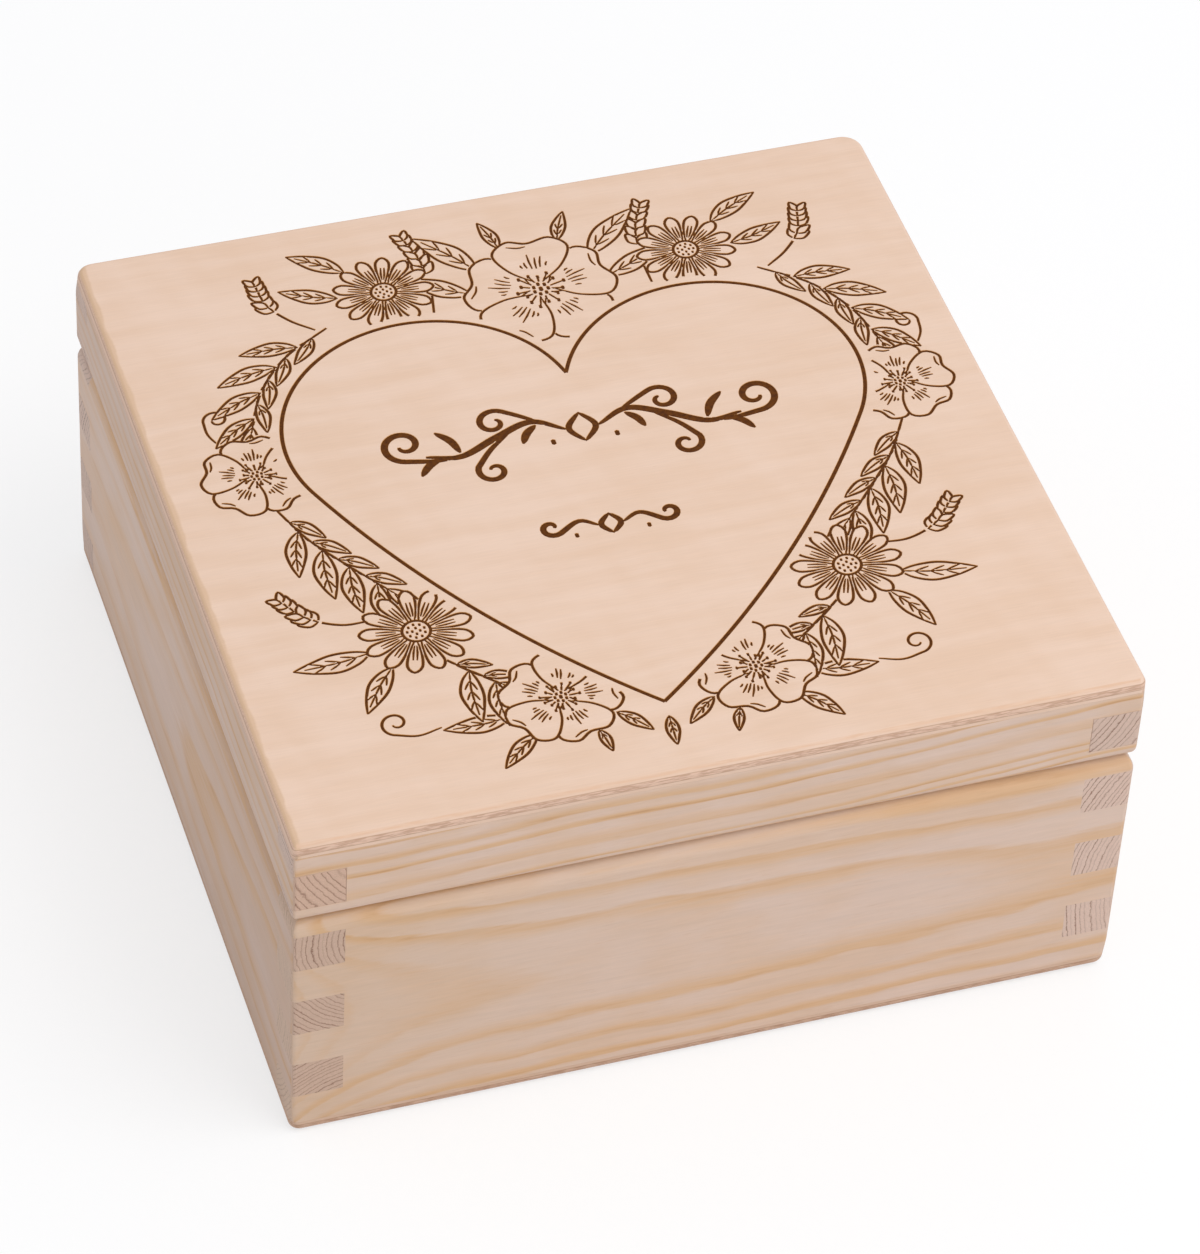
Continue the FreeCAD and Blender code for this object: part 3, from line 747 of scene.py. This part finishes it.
front_pine = pine(
    "pine_base_front", ALONG_X, [(0, -50.4, 41.7)], 3.5, end_figure=0.5, lean=(0.015, 0.0),
    swell=(9.0, -BOX_HALF, 14), calm=(58.5, 61.0), shade=(20, -170, FRONT_PAINTED_SHADE), phase=0.16,
    wander=0.9, sway=2.0, unevenness=0.0, figure=1.15, resin=0.6, rim=BASE_RIM_WARM_SHADE,
)
back_pine = pine(
    "pine_base_back", ALONG_X, [(0, 38, 26)], 3.2, lean=(-0.03, 0.02), wander=4.0,
    rim=BASE_RIM_WARM_SHADE, seed=5.2,
)
left_pine = pine(
    "pine_base_left", ALONG_Y, [(0, -50, 38)], 3.5, end_hearts=[(0, -88, -6), (32, -78, 68.5)],
    end_tint=LEFT_END_TONE, calm=(64.0, 60.5), shade=(80, -110, LEFT_PAINTED_SHADE), lean=(0.03, 0.0), phase=0.75,
    wander=1.5, sway=1.3, unevenness=0.3, figure=1.15, resin=1.0, rim=LEFT_RIM_WARM_SHADE, seed=2.7,
)
right_pine = pine(
    "pine_base_right", ALONG_Y, [(0, 50, 44)], 3.4, end_hearts=[(0, 163, 32)], end_tint=RIGHT_END_TONE,
    lean=(-0.02, 0.02), rim=BASE_RIM_WARM_SHADE, seed=8.4,
)

walls = [
    long_board("base_front_board", "base_front_wall", "base", front_pine, BASE_FINGERS, base_rim),
    long_board("base_back_board", "base_back_wall", "base", back_pine, BASE_FINGERS, base_rim, True),
    side_board("base_left_board", "base_left_wall", "base", left_pine, BASE_FINGERS, base_rim),
    side_board("base_right_board", "base_right_wall", "base", right_pine, BASE_FINGERS, base_rim),
]
print("Walls:", {wall.name: len(wall.data.polygons) for wall in walls})

# %% [markdown]
# ## The strips of the lid
#
# The lid's frame is made like the base, only lower, with one finger at each corner.
# Its front strip is cut on the quarter, so the rings show as fine straight lines and not as flames.

# %% Lid strips
lid_front_pine = pine(
    "pine_lid_front", ALONG_X, [(0, -104, 160)], 4.2, lean=(0.0, 0.03), seed=1.3, wander=4.5, sway=1.6,
    unevenness=3.0, figure=1.3, resin=1.0,
)
lid_back_pine = pine("pine_lid_back", ALONG_X, [(0, 80, 130)], 2.8, lean=(0.0, -0.02), seed=6.6)
lid_left_pine = pine(
    "pine_lid_left", ALONG_Y, [(0, -68, 113)], 2.5, end_ring=1.7, end_tint=LID_LEFT_END_TONE,
    lean=(0.0, 0.02), shade=(BOX_HALF + 30, BOX_HALF, LID_LEFT_PAINTED_SHADE), wander=2.0, resin=1.0, seed=3.9,
)
lid_right_pine = pine(
    "pine_lid_right", ALONG_Y, [(0, 68, 113)], 2.6, end_ring=1.7, lean=(0.0, -0.02), wander=2.0, seed=9.5
)

lid_strips = [
    long_board("lid_front_frame", "lid_front_strip", "lid", lid_front_pine, LID_FINGERS, lid_rim),
    long_board("lid_back_frame", "lid_back_strip", "lid", lid_back_pine, LID_FINGERS, lid_rim, True),
    side_board("lid_left_frame", "lid_left_strip", "lid", lid_left_pine, LID_FINGERS, lid_rim),
    side_board("lid_right_frame", "lid_right_strip", "lid", lid_right_pine, LID_FINGERS, lid_rim),
]
print("Strips:", {strip.name: len(strip.data.polygons) for strip in lid_strips})

# %% [markdown]
# ## The plywood bottom
#
# The bottom sheet is glued under the walls. Its lower edge is rounded a little so that it doesn't splinter.

# %% Bottom sheet
BOTTOM_ROUND = 2.5
# Painted shade: the bottom sheet's edges are darkened for the shadow where the box meets the floor.
BOTTOM_EDGE_PAINTED_SHADE = (0.82, 0.78, 0.74, 1.0)
TOP_ROUND = 1.8
PANEL_BORDER = 104.0


def sheet_cells(node, rim, inner_cuts=()):
    """A square sheet with one rounded rim, as corners and faces."""
    low, high = box_mm(node)
    level, side, radius = rim
    plan_cuts = list(inner_cuts)
    for end in (-1, 1):
        for edge_radius in (radius, CORNER_ROUND, MOST_WORN):
            plan_cuts += near_edge(end * BOX_HALF, end, edge_radius)
    z_cuts = [low[2], high[2]] + near_edge(level, side, radius)
    corners, faces = skin_of_cells((plan_cuts, plan_cuts, z_cuts), lambda x, y, z: True)
    round_form(corners, rim)
    return corners, faces


bottom_low, bottom_high = box_mm("base_bottom_panel")
bottom_thickness = bottom_high[2] - bottom_low[2]
bottom_ply = plywood(
    "plywood_bottom", bottom_low[2], bottom_thickness, seed=11.0, painted_edge_shade=BOTTOM_EDGE_PAINTED_SHADE
)
bottom_corners, bottom_faces = sheet_cells("base_bottom_panel", (bottom_low[2], -1, BOTTOM_ROUND))
make_piece(
    "base_bottom_sheet", bottom_corners, bottom_faces, bottom_ply, "base_bottom_panel", "base"
)
print("Bottom sheet", round(bottom_thickness, 2), "mm thick")

# %% [markdown]
# ## The engraving: pen strokes on the lid
#
# The lid is engraved by a laser, which burns thin brown lines a fraction of a millimetre deep.
# A painted texture would blur close up, so each line is cut into the sheet as real geometry.
# A drawing is kept here as strokes: points in millimetres, seen from above, with a width at each point.
# As in pen drawing, what lies in front is drawn first, and then hides the strokes that pass behind it.

# %% Strokes and curves
LINE = 0.64
FINE_LINE = 0.44
POINT_SPACING = 1.1


def inside(points, outline):
    """Which of the points lie inside a closed outline."""
    x, y = points[:, 0, None], points[:, 1, None]
    x1, y1 = outline.T
    x2, y2 = np.roll(outline, -1, axis=0).T
    crossing = (y1 > y) != (y2 > y)
    rise = np.where(y2 == y1, 1.0, y2 - y1)
    to_the_right = x < x1 + (y - y1) / rise * (x2 - x1)
    return (crossing & to_the_right).sum(axis=1) % 2 == 1


class Drawing:
    """Strokes, each with its widths, and the outlines that hide what is drawn after them."""

    def __init__(self):
        self.strokes = []
        self.covers = []

    def hide_behind(self, outline):
        self.covers.append(np.array(outline))

    def stroke(self, line, width=LINE, thin=0.45):
        """A line that is thin at both ends, cut off where something drawn earlier hides it."""
        line = np.array(line, float)
        share = np.linspace(0.0, 1.0, len(line))
        widths = width * (thin + (1 - thin) * np.sqrt(np.sin(math.pi * share).clip(0)))
        shown = np.ones(len(line), bool)
        for outline in self.covers:
            shown &= ~inside(line, outline)
        breaks = np.flatnonzero(np.diff(shown.astype(int))) + 1
        for run in np.split(np.arange(len(line)), breaks):
            if shown[run[0]] and len(run) > 2:
                self.strokes.append((line[run], widths[run]))

    def dot(self, at, radius):
        """A small filled dot: one short wide stroke."""
        at = np.array(at, float)
        reach = np.array((radius * 0.5, 0.0))
        self.strokes.append((np.array([at - reach, at, at + reach]), radius * np.array((1.3, 2.0, 1.3))))

    def mirrored(self):
        """The same strokes, left for right."""
        return [(line * (-1, 1), widths) for line, widths in self.strokes]


def smooth(points, spacing=POINT_SPACING):
    """An even curve through a few points, as a draughtsman bends a batten through pins."""
    points = np.array(points, float)
    ends = [2 * points[0] - points[1]], [2 * points[-1] - points[-2]]
    padded = np.concatenate([ends[0], points, ends[1]])
    curve = []
    for before, start, stop, after in zip(padded, padded[1:], padded[2:], padded[3:]):
        count = max(2, math.ceil(np.linalg.norm(stop - start) / spacing))
        t = np.linspace(0.0, 1.0, count, endpoint=False)[:, None]
        bend = 2 * before - 5 * start + 4 * stop - after
        twist = 3 * (start - stop) + after - before
        curve.append(start + 0.5 * ((stop - before) * t + bend * t**2 + twist * t**3))
    return np.concatenate([*curve, points[-1:]])


def arc(middle, radius, start, stop, spacing=POINT_SPACING, end_radius=None):
    """A round stretch between two angles in degrees, or a spiral where the radius changes."""
    end_radius = radius if end_radius is None else end_radius
    count = max(4, math.ceil(abs(math.radians(stop - start)) * max(radius, end_radius) / spacing) + 1)
    angles = np.radians(np.linspace(start, stop, count))
    reach = np.linspace(radius, end_radius, count)
    return np.array(middle) + np.stack([reach * np.cos(angles), reach * np.sin(angles)], axis=1)


def curled(points, middle, radius, start, stop, end_radius, spacing=POINT_SPACING):
    """A smooth line that runs on into a spiral."""
    return np.concatenate([smooth(points)[:-1], arc(middle, radius, start, stop, spacing, end_radius)])


def placed(points, at, angle=0.0, size=1.0):
    """Points turned by an angle in degrees, scaled and moved."""
    turn = math.radians(angle)
    spin = np.array(((math.cos(turn), math.sin(turn)), (-math.sin(turn), math.cos(turn))))
    return np.array(points, float) @ spin * size + np.array(at)


print("Engraved lines are", LINE, "mm wide")

# %% [markdown]
# ## The heart
#
# The heart is a plain geometric one: a circle for each lobe, and a flat arc from each lobe to the point.
# The flat arc starts where it is tangent to the circle, so its centre is on the line through the circle's.

# %% Heart outline
LOBE_MIDDLE = np.array((37.8, 23.8))
LOBE_RADIUS = 39.7
NOTCH_ANGLE = 162.0
SIDE_ANGLE = -28.0
HEART_TIP = np.array((0.0, -86.0))
HEART_LINE = 0.9
HEART_MARGIN = 2.4


def half_heart(margin=0.0):
    """The right half of the heart from the notch to the tip, grown by a margin."""
    lobe = arc(LOBE_MIDDLE, LOBE_RADIUS + margin, NOTCH_ANGLE, SIDE_ANGLE)
    to_middle = (LOBE_MIDDLE - lobe[-1]) / np.linalg.norm(LOBE_MIDDLE - lobe[-1])
    chord = HEART_TIP - (0, 1.5 * margin) - lobe[-1]
    side_radius = chord @ chord / (2 * chord @ to_middle)
    side_middle = lobe[-1] + side_radius * to_middle
    stop = np.degrees(np.arctan2(*(lobe[-1] + chord - side_middle)[::-1]))
    side = arc(side_middle, side_radius, SIDE_ANGLE, stop)
    half = np.concatenate([lobe, side[1:]])
    return half[half[:, 0] >= -1e-6]


def whole_heart(margin=0.0):
    right = half_heart(margin)
    return np.concatenate([right, right[::-1][1:-1] * (-1, 1)])


heart = Drawing()
for half in (half_heart(), half_heart() * (-1, 1)):
    heart.stroke(half, HEART_LINE, thin=1.0)
print("Heart", np.round(np.ptp(whole_heart(), axis=0), 1), "mm")

# %% [markdown]
# ## Garland motifs
#
# The garland round the heart has plain country motifs: wild roses, daisies, leaf sprigs and lavender.
# Each motif is one function that draws it at any place, angle and size, from a few points on a smooth curve.
# Outlines are heavier than veins, and petals overlap their neighbours, which gives the drawing its depth.

# %% Garland motifs
ROSE_PETAL = ((0.14, 0.05), (0.42, 0.36), (0.78, 0.52), (1.0, 0.3), (0.93, 0.02))
DAISY_PETAL = ((0.26, 0.03), (0.55, 0.11), (0.86, 0.13), (1.0, 0.0))
LEAF_EDGE = ((0.0, 0.0), (0.2, 0.11), (0.48, 0.16), (0.78, 0.09), (1.0, 0.0))
TURNED_OVER = np.array((1, -1))


def leaf(drawing, at, angle, length, bend=0.0, veins=3):
    """A pointed leaf, bent sideways along its length."""
    def bent(points):
        points = np.array(points, float)
        points[:, 1] += bend * points[:, 0] ** 2
        return placed(points, at, angle, length)

    upper = smooth(bent(LEAF_EDGE))
    lower = smooth(bent(np.array(LEAF_EDGE) * TURNED_OVER))
    drawing.stroke(upper)
    drawing.stroke(lower)
    drawing.stroke(smooth(bent(((0.0, 0.0), (0.4, 0.0), (0.86, 0.0)))), FINE_LINE)
    for number in range(veins):
        start = 0.2 + 0.2 * number
        for side in (1, -1):
            vein = ((start, 0.0), (start + 0.09, 0.05 * side), (start + 0.17, 0.085 * side))
            drawing.stroke(smooth(bent(vein)), FINE_LINE, thin=0.3)
    drawing.hide_behind(np.concatenate([upper, lower[::-1]]))


def petal(edge, at, angle, size):
    """The outline of a petal, from one edge that ends on its middle line."""
    edge = np.array(edge)
    return smooth(placed(np.concatenate([edge, edge[-2::-1] * TURNED_OVER]), at, angle, size))


def wild_rose(drawing, at, size, angle=90.0):
    """Five notched petals round a ring of stamens."""
    drawing.dot(at, 0.045 * size)
    for number in range(7):
        drawing.dot(arc(at, 0.1 * size, 51.4 * number, 360)[0], 0.035 * size)
    for number in range(15):
        ray = angle + 24 * number
        reach = 0.22 + 0.055 * (number * 2 % 5) / 2
        stamen = ((0.15, 0.0), (reach / 2 + 0.07, 0.0), (reach, 0.0))
        drawing.stroke(placed(stamen, at, ray, size), FINE_LINE, thin=0.8)
        drawing.dot(placed(((reach + 0.02, 0.0),), at, ray, size)[0], 0.034 * size)
    drawing.hide_behind(arc(at, 0.13 * size, 0, 360, 0.5))
    for number in (0, 2, 4, 1, 3):
        turn = angle + 72 * number
        outline = petal(ROSE_PETAL, at, turn, size)
        drawing.stroke(outline)
        for side in (-19, -10, -3, 5, 13, 20):
            start = 0.4 + 0.004 * abs(side)
            stop = 0.66 - 0.011 * abs(side) + 0.05 * (side % 3)
            crease = ((start, 0.0), ((start + stop) / 2, 0.006), (stop, 0.0))
            drawing.stroke(placed(crease, at, turn + side, size), FINE_LINE, 0.3)
        rim_fold = ((0.9, 0.3), (0.86, 0.16), (0.87, 0.05))
        drawing.stroke(smooth(placed(rim_fold, at, turn, size)), FINE_LINE, 0.3)
        drawing.hide_behind(outline)


def daisy(drawing, at, size, angle=0.0, petals=13):
    """Slim petals round a dotted button."""
    button = arc(at, 0.25 * size, 0, 360, 0.7)
    drawing.stroke(button, LINE, thin=1.0)
    for ring, count in ((0.07, 4), (0.16, 9)):
        for number in range(count):
            drawing.dot(arc(at, ring * size, 360 * number / count, 360)[0], 0.03 * size)
    drawing.hide_behind(button)
    for number in range(petals):
        turn = angle + 360 * (number * 2 % petals) / petals
        outline = petal(DAISY_PETAL, at, turn, size)
        drawing.stroke(outline)
        for side in (-0.035, 0.035):
            crease = ((0.36, side * 0.6), (0.52, side), (0.7, side))
            drawing.stroke(placed(crease, at, turn, size), FINE_LINE, 0.3)
        drawing.hide_behind(outline)


def along_spine(spine, share):
    """A point on a curve and the way the curve runs there, in degrees."""
    number = min(int(share * (len(spine) - 1)), len(spine) - 2)
    run = spine[number + 1] - spine[number]
    return spine[number], math.degrees(math.atan2(run[1], run[0]))


def sprig(drawing, points, outer, inner, pairs, spread):
    """A stem with leaves by turns on both sides, longer ones outside the garland, and one at its tip."""
    spine = smooth(points)
    tip, way = along_spine(spine, 1.0)
    leaf(drawing, tip, way, 0.8 * outer)
    step = 0.9 / pairs
    for number in range(pairs):
        share = 0.92 - step * number
        at, way = along_spine(spine, share)
        leaf(drawing, at, way + spread, outer * (1.0 - 0.35 * abs(share - 0.5)), bend=-0.18)
        at, way = along_spine(spine, max(share - step / 2, 0.0))
        leaf(drawing, at, way - spread * 0.75, inner, bend=0.2, veins=1)
    drawing.stroke(spine, LINE * 1.15, thin=0.6)


def lavender(drawing, points, buds, size):
    """A thin stem that ends in rows of small buds."""
    spine = smooth(points)
    bud = ((0.0, 0.0), (0.45, 0.26), (1.0, 0.0), (0.45, -0.26), (0.0, 0.0))
    for number in range(buds):
        share = 1.0 - 0.55 * number / buds
        at, way = along_spine(spine, share)
        for side in (-32, 32):
            outline = smooth(placed(bud, at, way + side, size * (0.75 + 0.25 * number / buds)), 0.7)
            drawing.stroke(outline)
            drawing.hide_behind(outline)
    drawing.stroke(spine, LINE, thin=0.6)


def tendril(drawing, points, curl_middle, radius, start, turns):
    """A stem that runs into a curl."""
    stop = start + 360 * turns
    drawing.stroke(curled(points, curl_middle, radius, start, stop, 0.25 * radius, 0.8), LINE)


print("Garland motifs ready")

# %% [markdown]
# ## Laying out the garland
#
# The garland is the same on both sides, so only its right half is laid out, and turned over for the left.
# Flowers come first because they lie on top, then leaves, then stems and curls.
# The heart itself, with a margin, is the first thing that hides, so nothing runs into its line.

# %% Garland
crown = Drawing()
crown.hide_behind(whole_heart(HEART_MARGIN))
wild_rose(crown, (0.0, 69.5), 20.0)
leaf(crown, (0.0, -91.0), -90, 10, veins=2)

UPPER_LEAVES = (
    ((15.5, 80.0), 56, 22, -0.15, 3), ((18.5, 71.0), 24, 19, 0.12, 3), ((8.0, 87.5), 78, 12, -0.12, 2),
    ((50.5, 86.5), 42, 17, -0.15, 3), ((54.0, 77.0), 12, 16, 0.15, 3),
)
LOWER_LEAVES = (
    ((68.5, -54.0), -16, 20, 0.15, 3), ((64.0, -60.0), -50, 17, -0.15, 3), ((12.5, -87.0), 218, 11, 0.12, 2),
    ((18.0, -92.0), -110, 8, 0.1, 1), ((33.0, -90.0), -36, 14, -0.15, 3), ((38.5, -83.0), -12, 17, 0.15, 3),
)
SPRIGS = (
    (((59.0, 66.0), (71.5, 57.0), (80.0, 45.0), (84.5, 31.5)), 17, 11, 4, 46.0),
    (((83.0, 0.5), (77.0, -11.5), (68.5, -23.0), (60.0, -33.5)), 18, 11, 4, 46.0),
    (((51.0, -60.0), (47.0, -64.0), (42.0, -68.5), (38.5, -71.5)), 18, 9, 2, 58.0),
)
LAVENDERS = (
    ((30.0, 64.0), (29.0, 76.0), (30.0, 88.0), (33.0, 97.0)),
    ((62.0, 66.0), (68.0, 71.0), (73.0, 78.0), (75.0, 87.0)),
    ((66.0, -43.0), (74.0, -43.0), (82.0, -39.0), (88.0, -31.5)),
)
BUD_ROWS, BUD_SIZE = 6, 5.4

garland = Drawing()
garland.covers = list(crown.covers)
daisy(garland, (41.5, 77.0), 13.5, angle=15)
wild_rose(garland, (86.0, 14.5), 14.0, angle=15)
daisy(garland, (56.0, -49.0), 14.5, angle=5)
wild_rose(garland, (25.0, -79.0), 15.0, angle=-40)
for settings in UPPER_LEAVES:
    leaf(garland, *settings)
for settings in SPRIGS:
    sprig(garland, *settings)
for points in LAVENDERS:
    lavender(garland, points, BUD_ROWS, BUD_SIZE)
for settings in LOWER_LEAVES:
    leaf(garland, *settings)
tendril(garland, ((93.5, 27.0), (96.0, 32.0), (96.5, 37.0)), (93.0, 37.2), 3.5, 0, 1.1)
tendril(garland, ((56.0, -83.0), (62.0, -84.5), (68.0, -83.0)), (66.8, -79.2), 4.0, -72, 1.1)
print("Garland:", len(garland.strokes), "strokes on each side")

# %% [markdown]
# ## A flourish inside the heart
#
# The middle of the heart carries a scroll in the manner of a penman's flourish, with a smaller one below.
# It swells and thins like the stroke of a broad nib, so its widths reach well above those of the garland.

# %% Flourish
NIB = 2.1
scroll = Drawing()
scroll.stroke(smooth(((4.5, 15.0), (13.0, 19.5), (23.0, 15.5), (33.0, 10.5), (42.0, 12.0))), NIB, thin=0.25)
CURLS = (
    (((31.0, 11.2), (39.0, 10.2), (47.5, 11.5)), (47.0, 17.5), 6.0, -84, 340, 1.4),
    (((9.5, 18.0), (15.0, 22.0), (20.5, 25.5)), (22.5, 21.2), 4.6, 112, -240, 1.1),
    (((19.0, 17.0), (25.0, 11.5), (29.5, 5.5)), (25.6, 3.6), 4.3, 28, -330, 1.0),
)
for curl, width in zip(CURLS, (NIB * 0.85, NIB * 0.75, NIB * 0.75)):
    scroll.stroke(curled(*curl), width, thin=0.3)
for at, angle, length in (((33.0, 12.0), 58, 10.0), ((38.0, 11.0), -42, 8.5), ((12.0, 18.0), -55, 7.5)):
    scroll.stroke(smooth(placed(((0.0, 0.0), (0.5, 0.1), (1.0, 0.0)), at, angle, length)), NIB, thin=0.15)
scroll.stroke(smooth(((0.0, 9.5), (3.6, 15.0), (0.0, 20.5))), NIB * 0.75, thin=0.2)
small_curl = curled(((3.4, -21.5), (8.0, -19.2), (13.5, -22.6)), (15.4, -20.2), 3.1, -128, 190, 0.8)
scroll.stroke(small_curl, NIB * 0.75, thin=0.3)
scroll.stroke(smooth(((0.0, -25.2), (2.6, -21.5), (0.0, -17.8))), NIB * 0.7, thin=0.2)
scroll.dot((9.5, -24.2), 0.8)
scroll.dot((8.5, 10.8), 1.0)
print("Flourish:", len(scroll.strokes), "strokes on each side")

# %% [markdown]
# ## Cutting the drawing into the sheet
#
# Every stroke has a floor, a little below the face, and sloping shoulders up to the face on both sides.
# A constrained Delaunay triangulation joins thousands of such strips into one flat net without overlaps.
# Corners on a floor are lowered. They also get the burn value that the plywood recipe reads.

# %% Cut the lines
SHOULDER_IN, SHOULDER_OUT = 0.08, 0.17
CUT_DEPTH = 0.22
ENGRAVING_TURN = -2.6
ENGRAVING_LEAN = 0.055
CDT_TOLERANCE = 1e-5


def stroke_quads(line, widths, grow):
    """The quads of one stroke, widened on both sides and lengthened at both ends."""
    run = np.gradient(line, axis=0)
    run /= np.maximum(np.linalg.norm(run, axis=1), 1e-9)[:, None]
    reach = max(grow, 0.0)
    line = np.concatenate([line[:1] - run[:1] * reach, line[1:-1], line[-1:] + run[-1:] * reach])
    half = np.maximum(widths / 2 + grow, 0.06)[:, None]
    across = np.stack([-run[:, 1], run[:, 0]], axis=1) * half
    left, right = line + across, line - across
    return [(right[n], right[n + 1], left[n + 1], left[n]) for n in range(len(line) - 1)]


def engraved_net(strokes, half_size):
    """Flat corners, triangles and the corners that lie on a floor."""
    square = ((-1, -1), (1, -1), (1, 1), (-1, 1))
    points = [Vector((x * half_size, y * half_size)) for x, y in square]
    faces = [[0, 1, 2, 3]]
    for grow in (SHOULDER_OUT, -SHOULDER_IN):
        for line, widths in strokes:
            for quad in stroke_quads(line, widths, grow):
                faces.append(list(range(len(points), len(points) + 4)))
                points += [Vector(corner) for corner in quad]
        if grow > 0:
            first_floor = len(faces)
    corners, _, triangles, _, _, sources = delaunay_2d_cdt(points, [], faces, 0, CDT_TOLERANCE, True)
    floor_corners = set()
    for triangle, source in zip(triangles, sources):
        if any(number >= first_floor for number in source):
            floor_corners.update(triangle)
    return np.array([tuple(corner) for corner in corners]), triangles, floor_corners


strokes = heart.strokes + crown.strokes
for half in (garland, scroll):
    strokes = strokes + half.strokes + half.mirrored()
lean = np.array(((1.0, 0.0), (ENGRAVING_LEAN, 1.0)))
strokes = [(placed(line @ lean, (0, 0), ENGRAVING_TURN), widths) for line, widths in strokes]
reach = max(np.abs(line).max() for line, widths in strokes)
assert reach < PANEL_BORDER - 1.0, "the drawing runs over the edge of the engraved face"
net, triangles, burnt = engraved_net(strokes, PANEL_BORDER)
print("Engraving:", len(strokes), "strokes,", len(net), "corners,", len(triangles), "triangles")

# %% [markdown]
# ## The engraved top
#
# The top sheet is made like the bottom, with its upper edge rounded, and the middle of its face left open.
# The engraved net fills that opening. Its triangles are shaded flat, so the face looks level between lines.

# %% Top sheet
SANDED_TO = -BOX_HALF + 2.3
top_low, top_high = box_mm("lid_top_panel")
top_thickness = top_high[2] - top_low[2]
top_ply = plywood("plywood_top", top_low[2], top_thickness, seed=4.0, engraved=True, sanded_to=SANDED_TO)
top_rim = (top_high[2], 1, TOP_ROUND)
rim_corners, rim_faces = sheet_cells("lid_top_panel", top_rim, (-PANEL_BORDER, PANEL_BORDER))


def is_opening(face):
    """Whether a face is the middle of the upper side."""
    corners = rim_corners[face]
    return np.allclose(np.abs(corners[:, :2]), PANEL_BORDER) and np.allclose(corners[:, 2], top_high[2])


level = np.full(len(net), top_high[2])
level[list(burnt)] -= CUT_DEPTH
sheet_number = np.full(len(net), -1)
for number, corner in enumerate(net):
    if np.allclose(np.abs(corner), PANEL_BORDER):
        gaps = np.abs(rim_corners - (*corner, top_high[2])).sum(axis=1)
        sheet_number[number] = gaps.argmin()
fresh = np.flatnonzero(sheet_number < 0)
sheet_number[fresh] = len(rim_corners) + np.arange(len(fresh))
top_corners = np.concatenate([rim_corners, np.column_stack([net, level])[fresh]])
open_rim = [face for face in rim_faces if not is_opening(face)]
top_faces = open_rim + [[int(sheet_number[corner]) for corner in triangle] for triangle in triangles]
top = make_piece("lid_top_sheet", top_corners, top_faces, top_ply, "lid_top_panel", "lid")
for polygon in top.data.polygons[len(open_rim):]:
    polygon.use_smooth = False
burn = top.data.attributes.new("burn", "FLOAT", "POINT")
for number in burnt:
    burn.data[int(sheet_number[number])].value = 1.0
print("Top sheet", round(top_thickness, 2), "mm thick,", len(top_faces), "faces")

# %% [markdown]
# ## Brass and steel
#
# The lid turns on two small brass butt hinges with steel pins. Two screws hold each leaf in the wood.
# Their shapes in the construction are already exact, so those stay, and only get a finish of their own.
# Rolled brass has fine lines along the strip and dulls unevenly, so lines and dull patches are two noises.

# %% Hinge finishes
BRASS_BRIGHT = tint(224, 188, 112)
BRASS_DULL = tint(196, 152, 80)
STEEL_BRIGHT = tint(206, 207, 209)
STEEL_DULL = tint(168, 168, 170)


def rolled_metal(name, bright, dull, seed):
    metal = new_material(name)
    x, y, z = metal.place()
    lines = metal.noise(x / 9, y / 0.12, z / 0.12 + seed, detail=2.0)
    patches = metal.noise(x / 3 + seed, y / 3, z / 3, detail=4.0)
    colour = metal.blend(patches.between(0.35, 0.7), bright, dull)
    roughness = 0.2 + lines * 0.12 + patches * 0.16
    return metal.finish(colour, roughness, lines, 0.004, Metallic=1.0)


hinge_finishes = {
    "leaf": rolled_metal("hinge_brass", BRASS_BRIGHT, BRASS_DULL, 1.0),
    "screws": rolled_metal("screw_brass", BRASS_BRIGHT, BRASS_DULL, 7.0),
    "pin": rolled_metal("pin_steel", STEEL_BRIGHT, STEEL_DULL, 3.0),
}
hinge_nodes = [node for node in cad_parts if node.startswith("hinge_")]
for node in hinge_nodes:
    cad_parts[node].material_slots[0].material = hinge_finishes[node.rsplit("_", 1)[1]]
print("Metal finishes on", len(hinge_nodes), "hinge nodes")
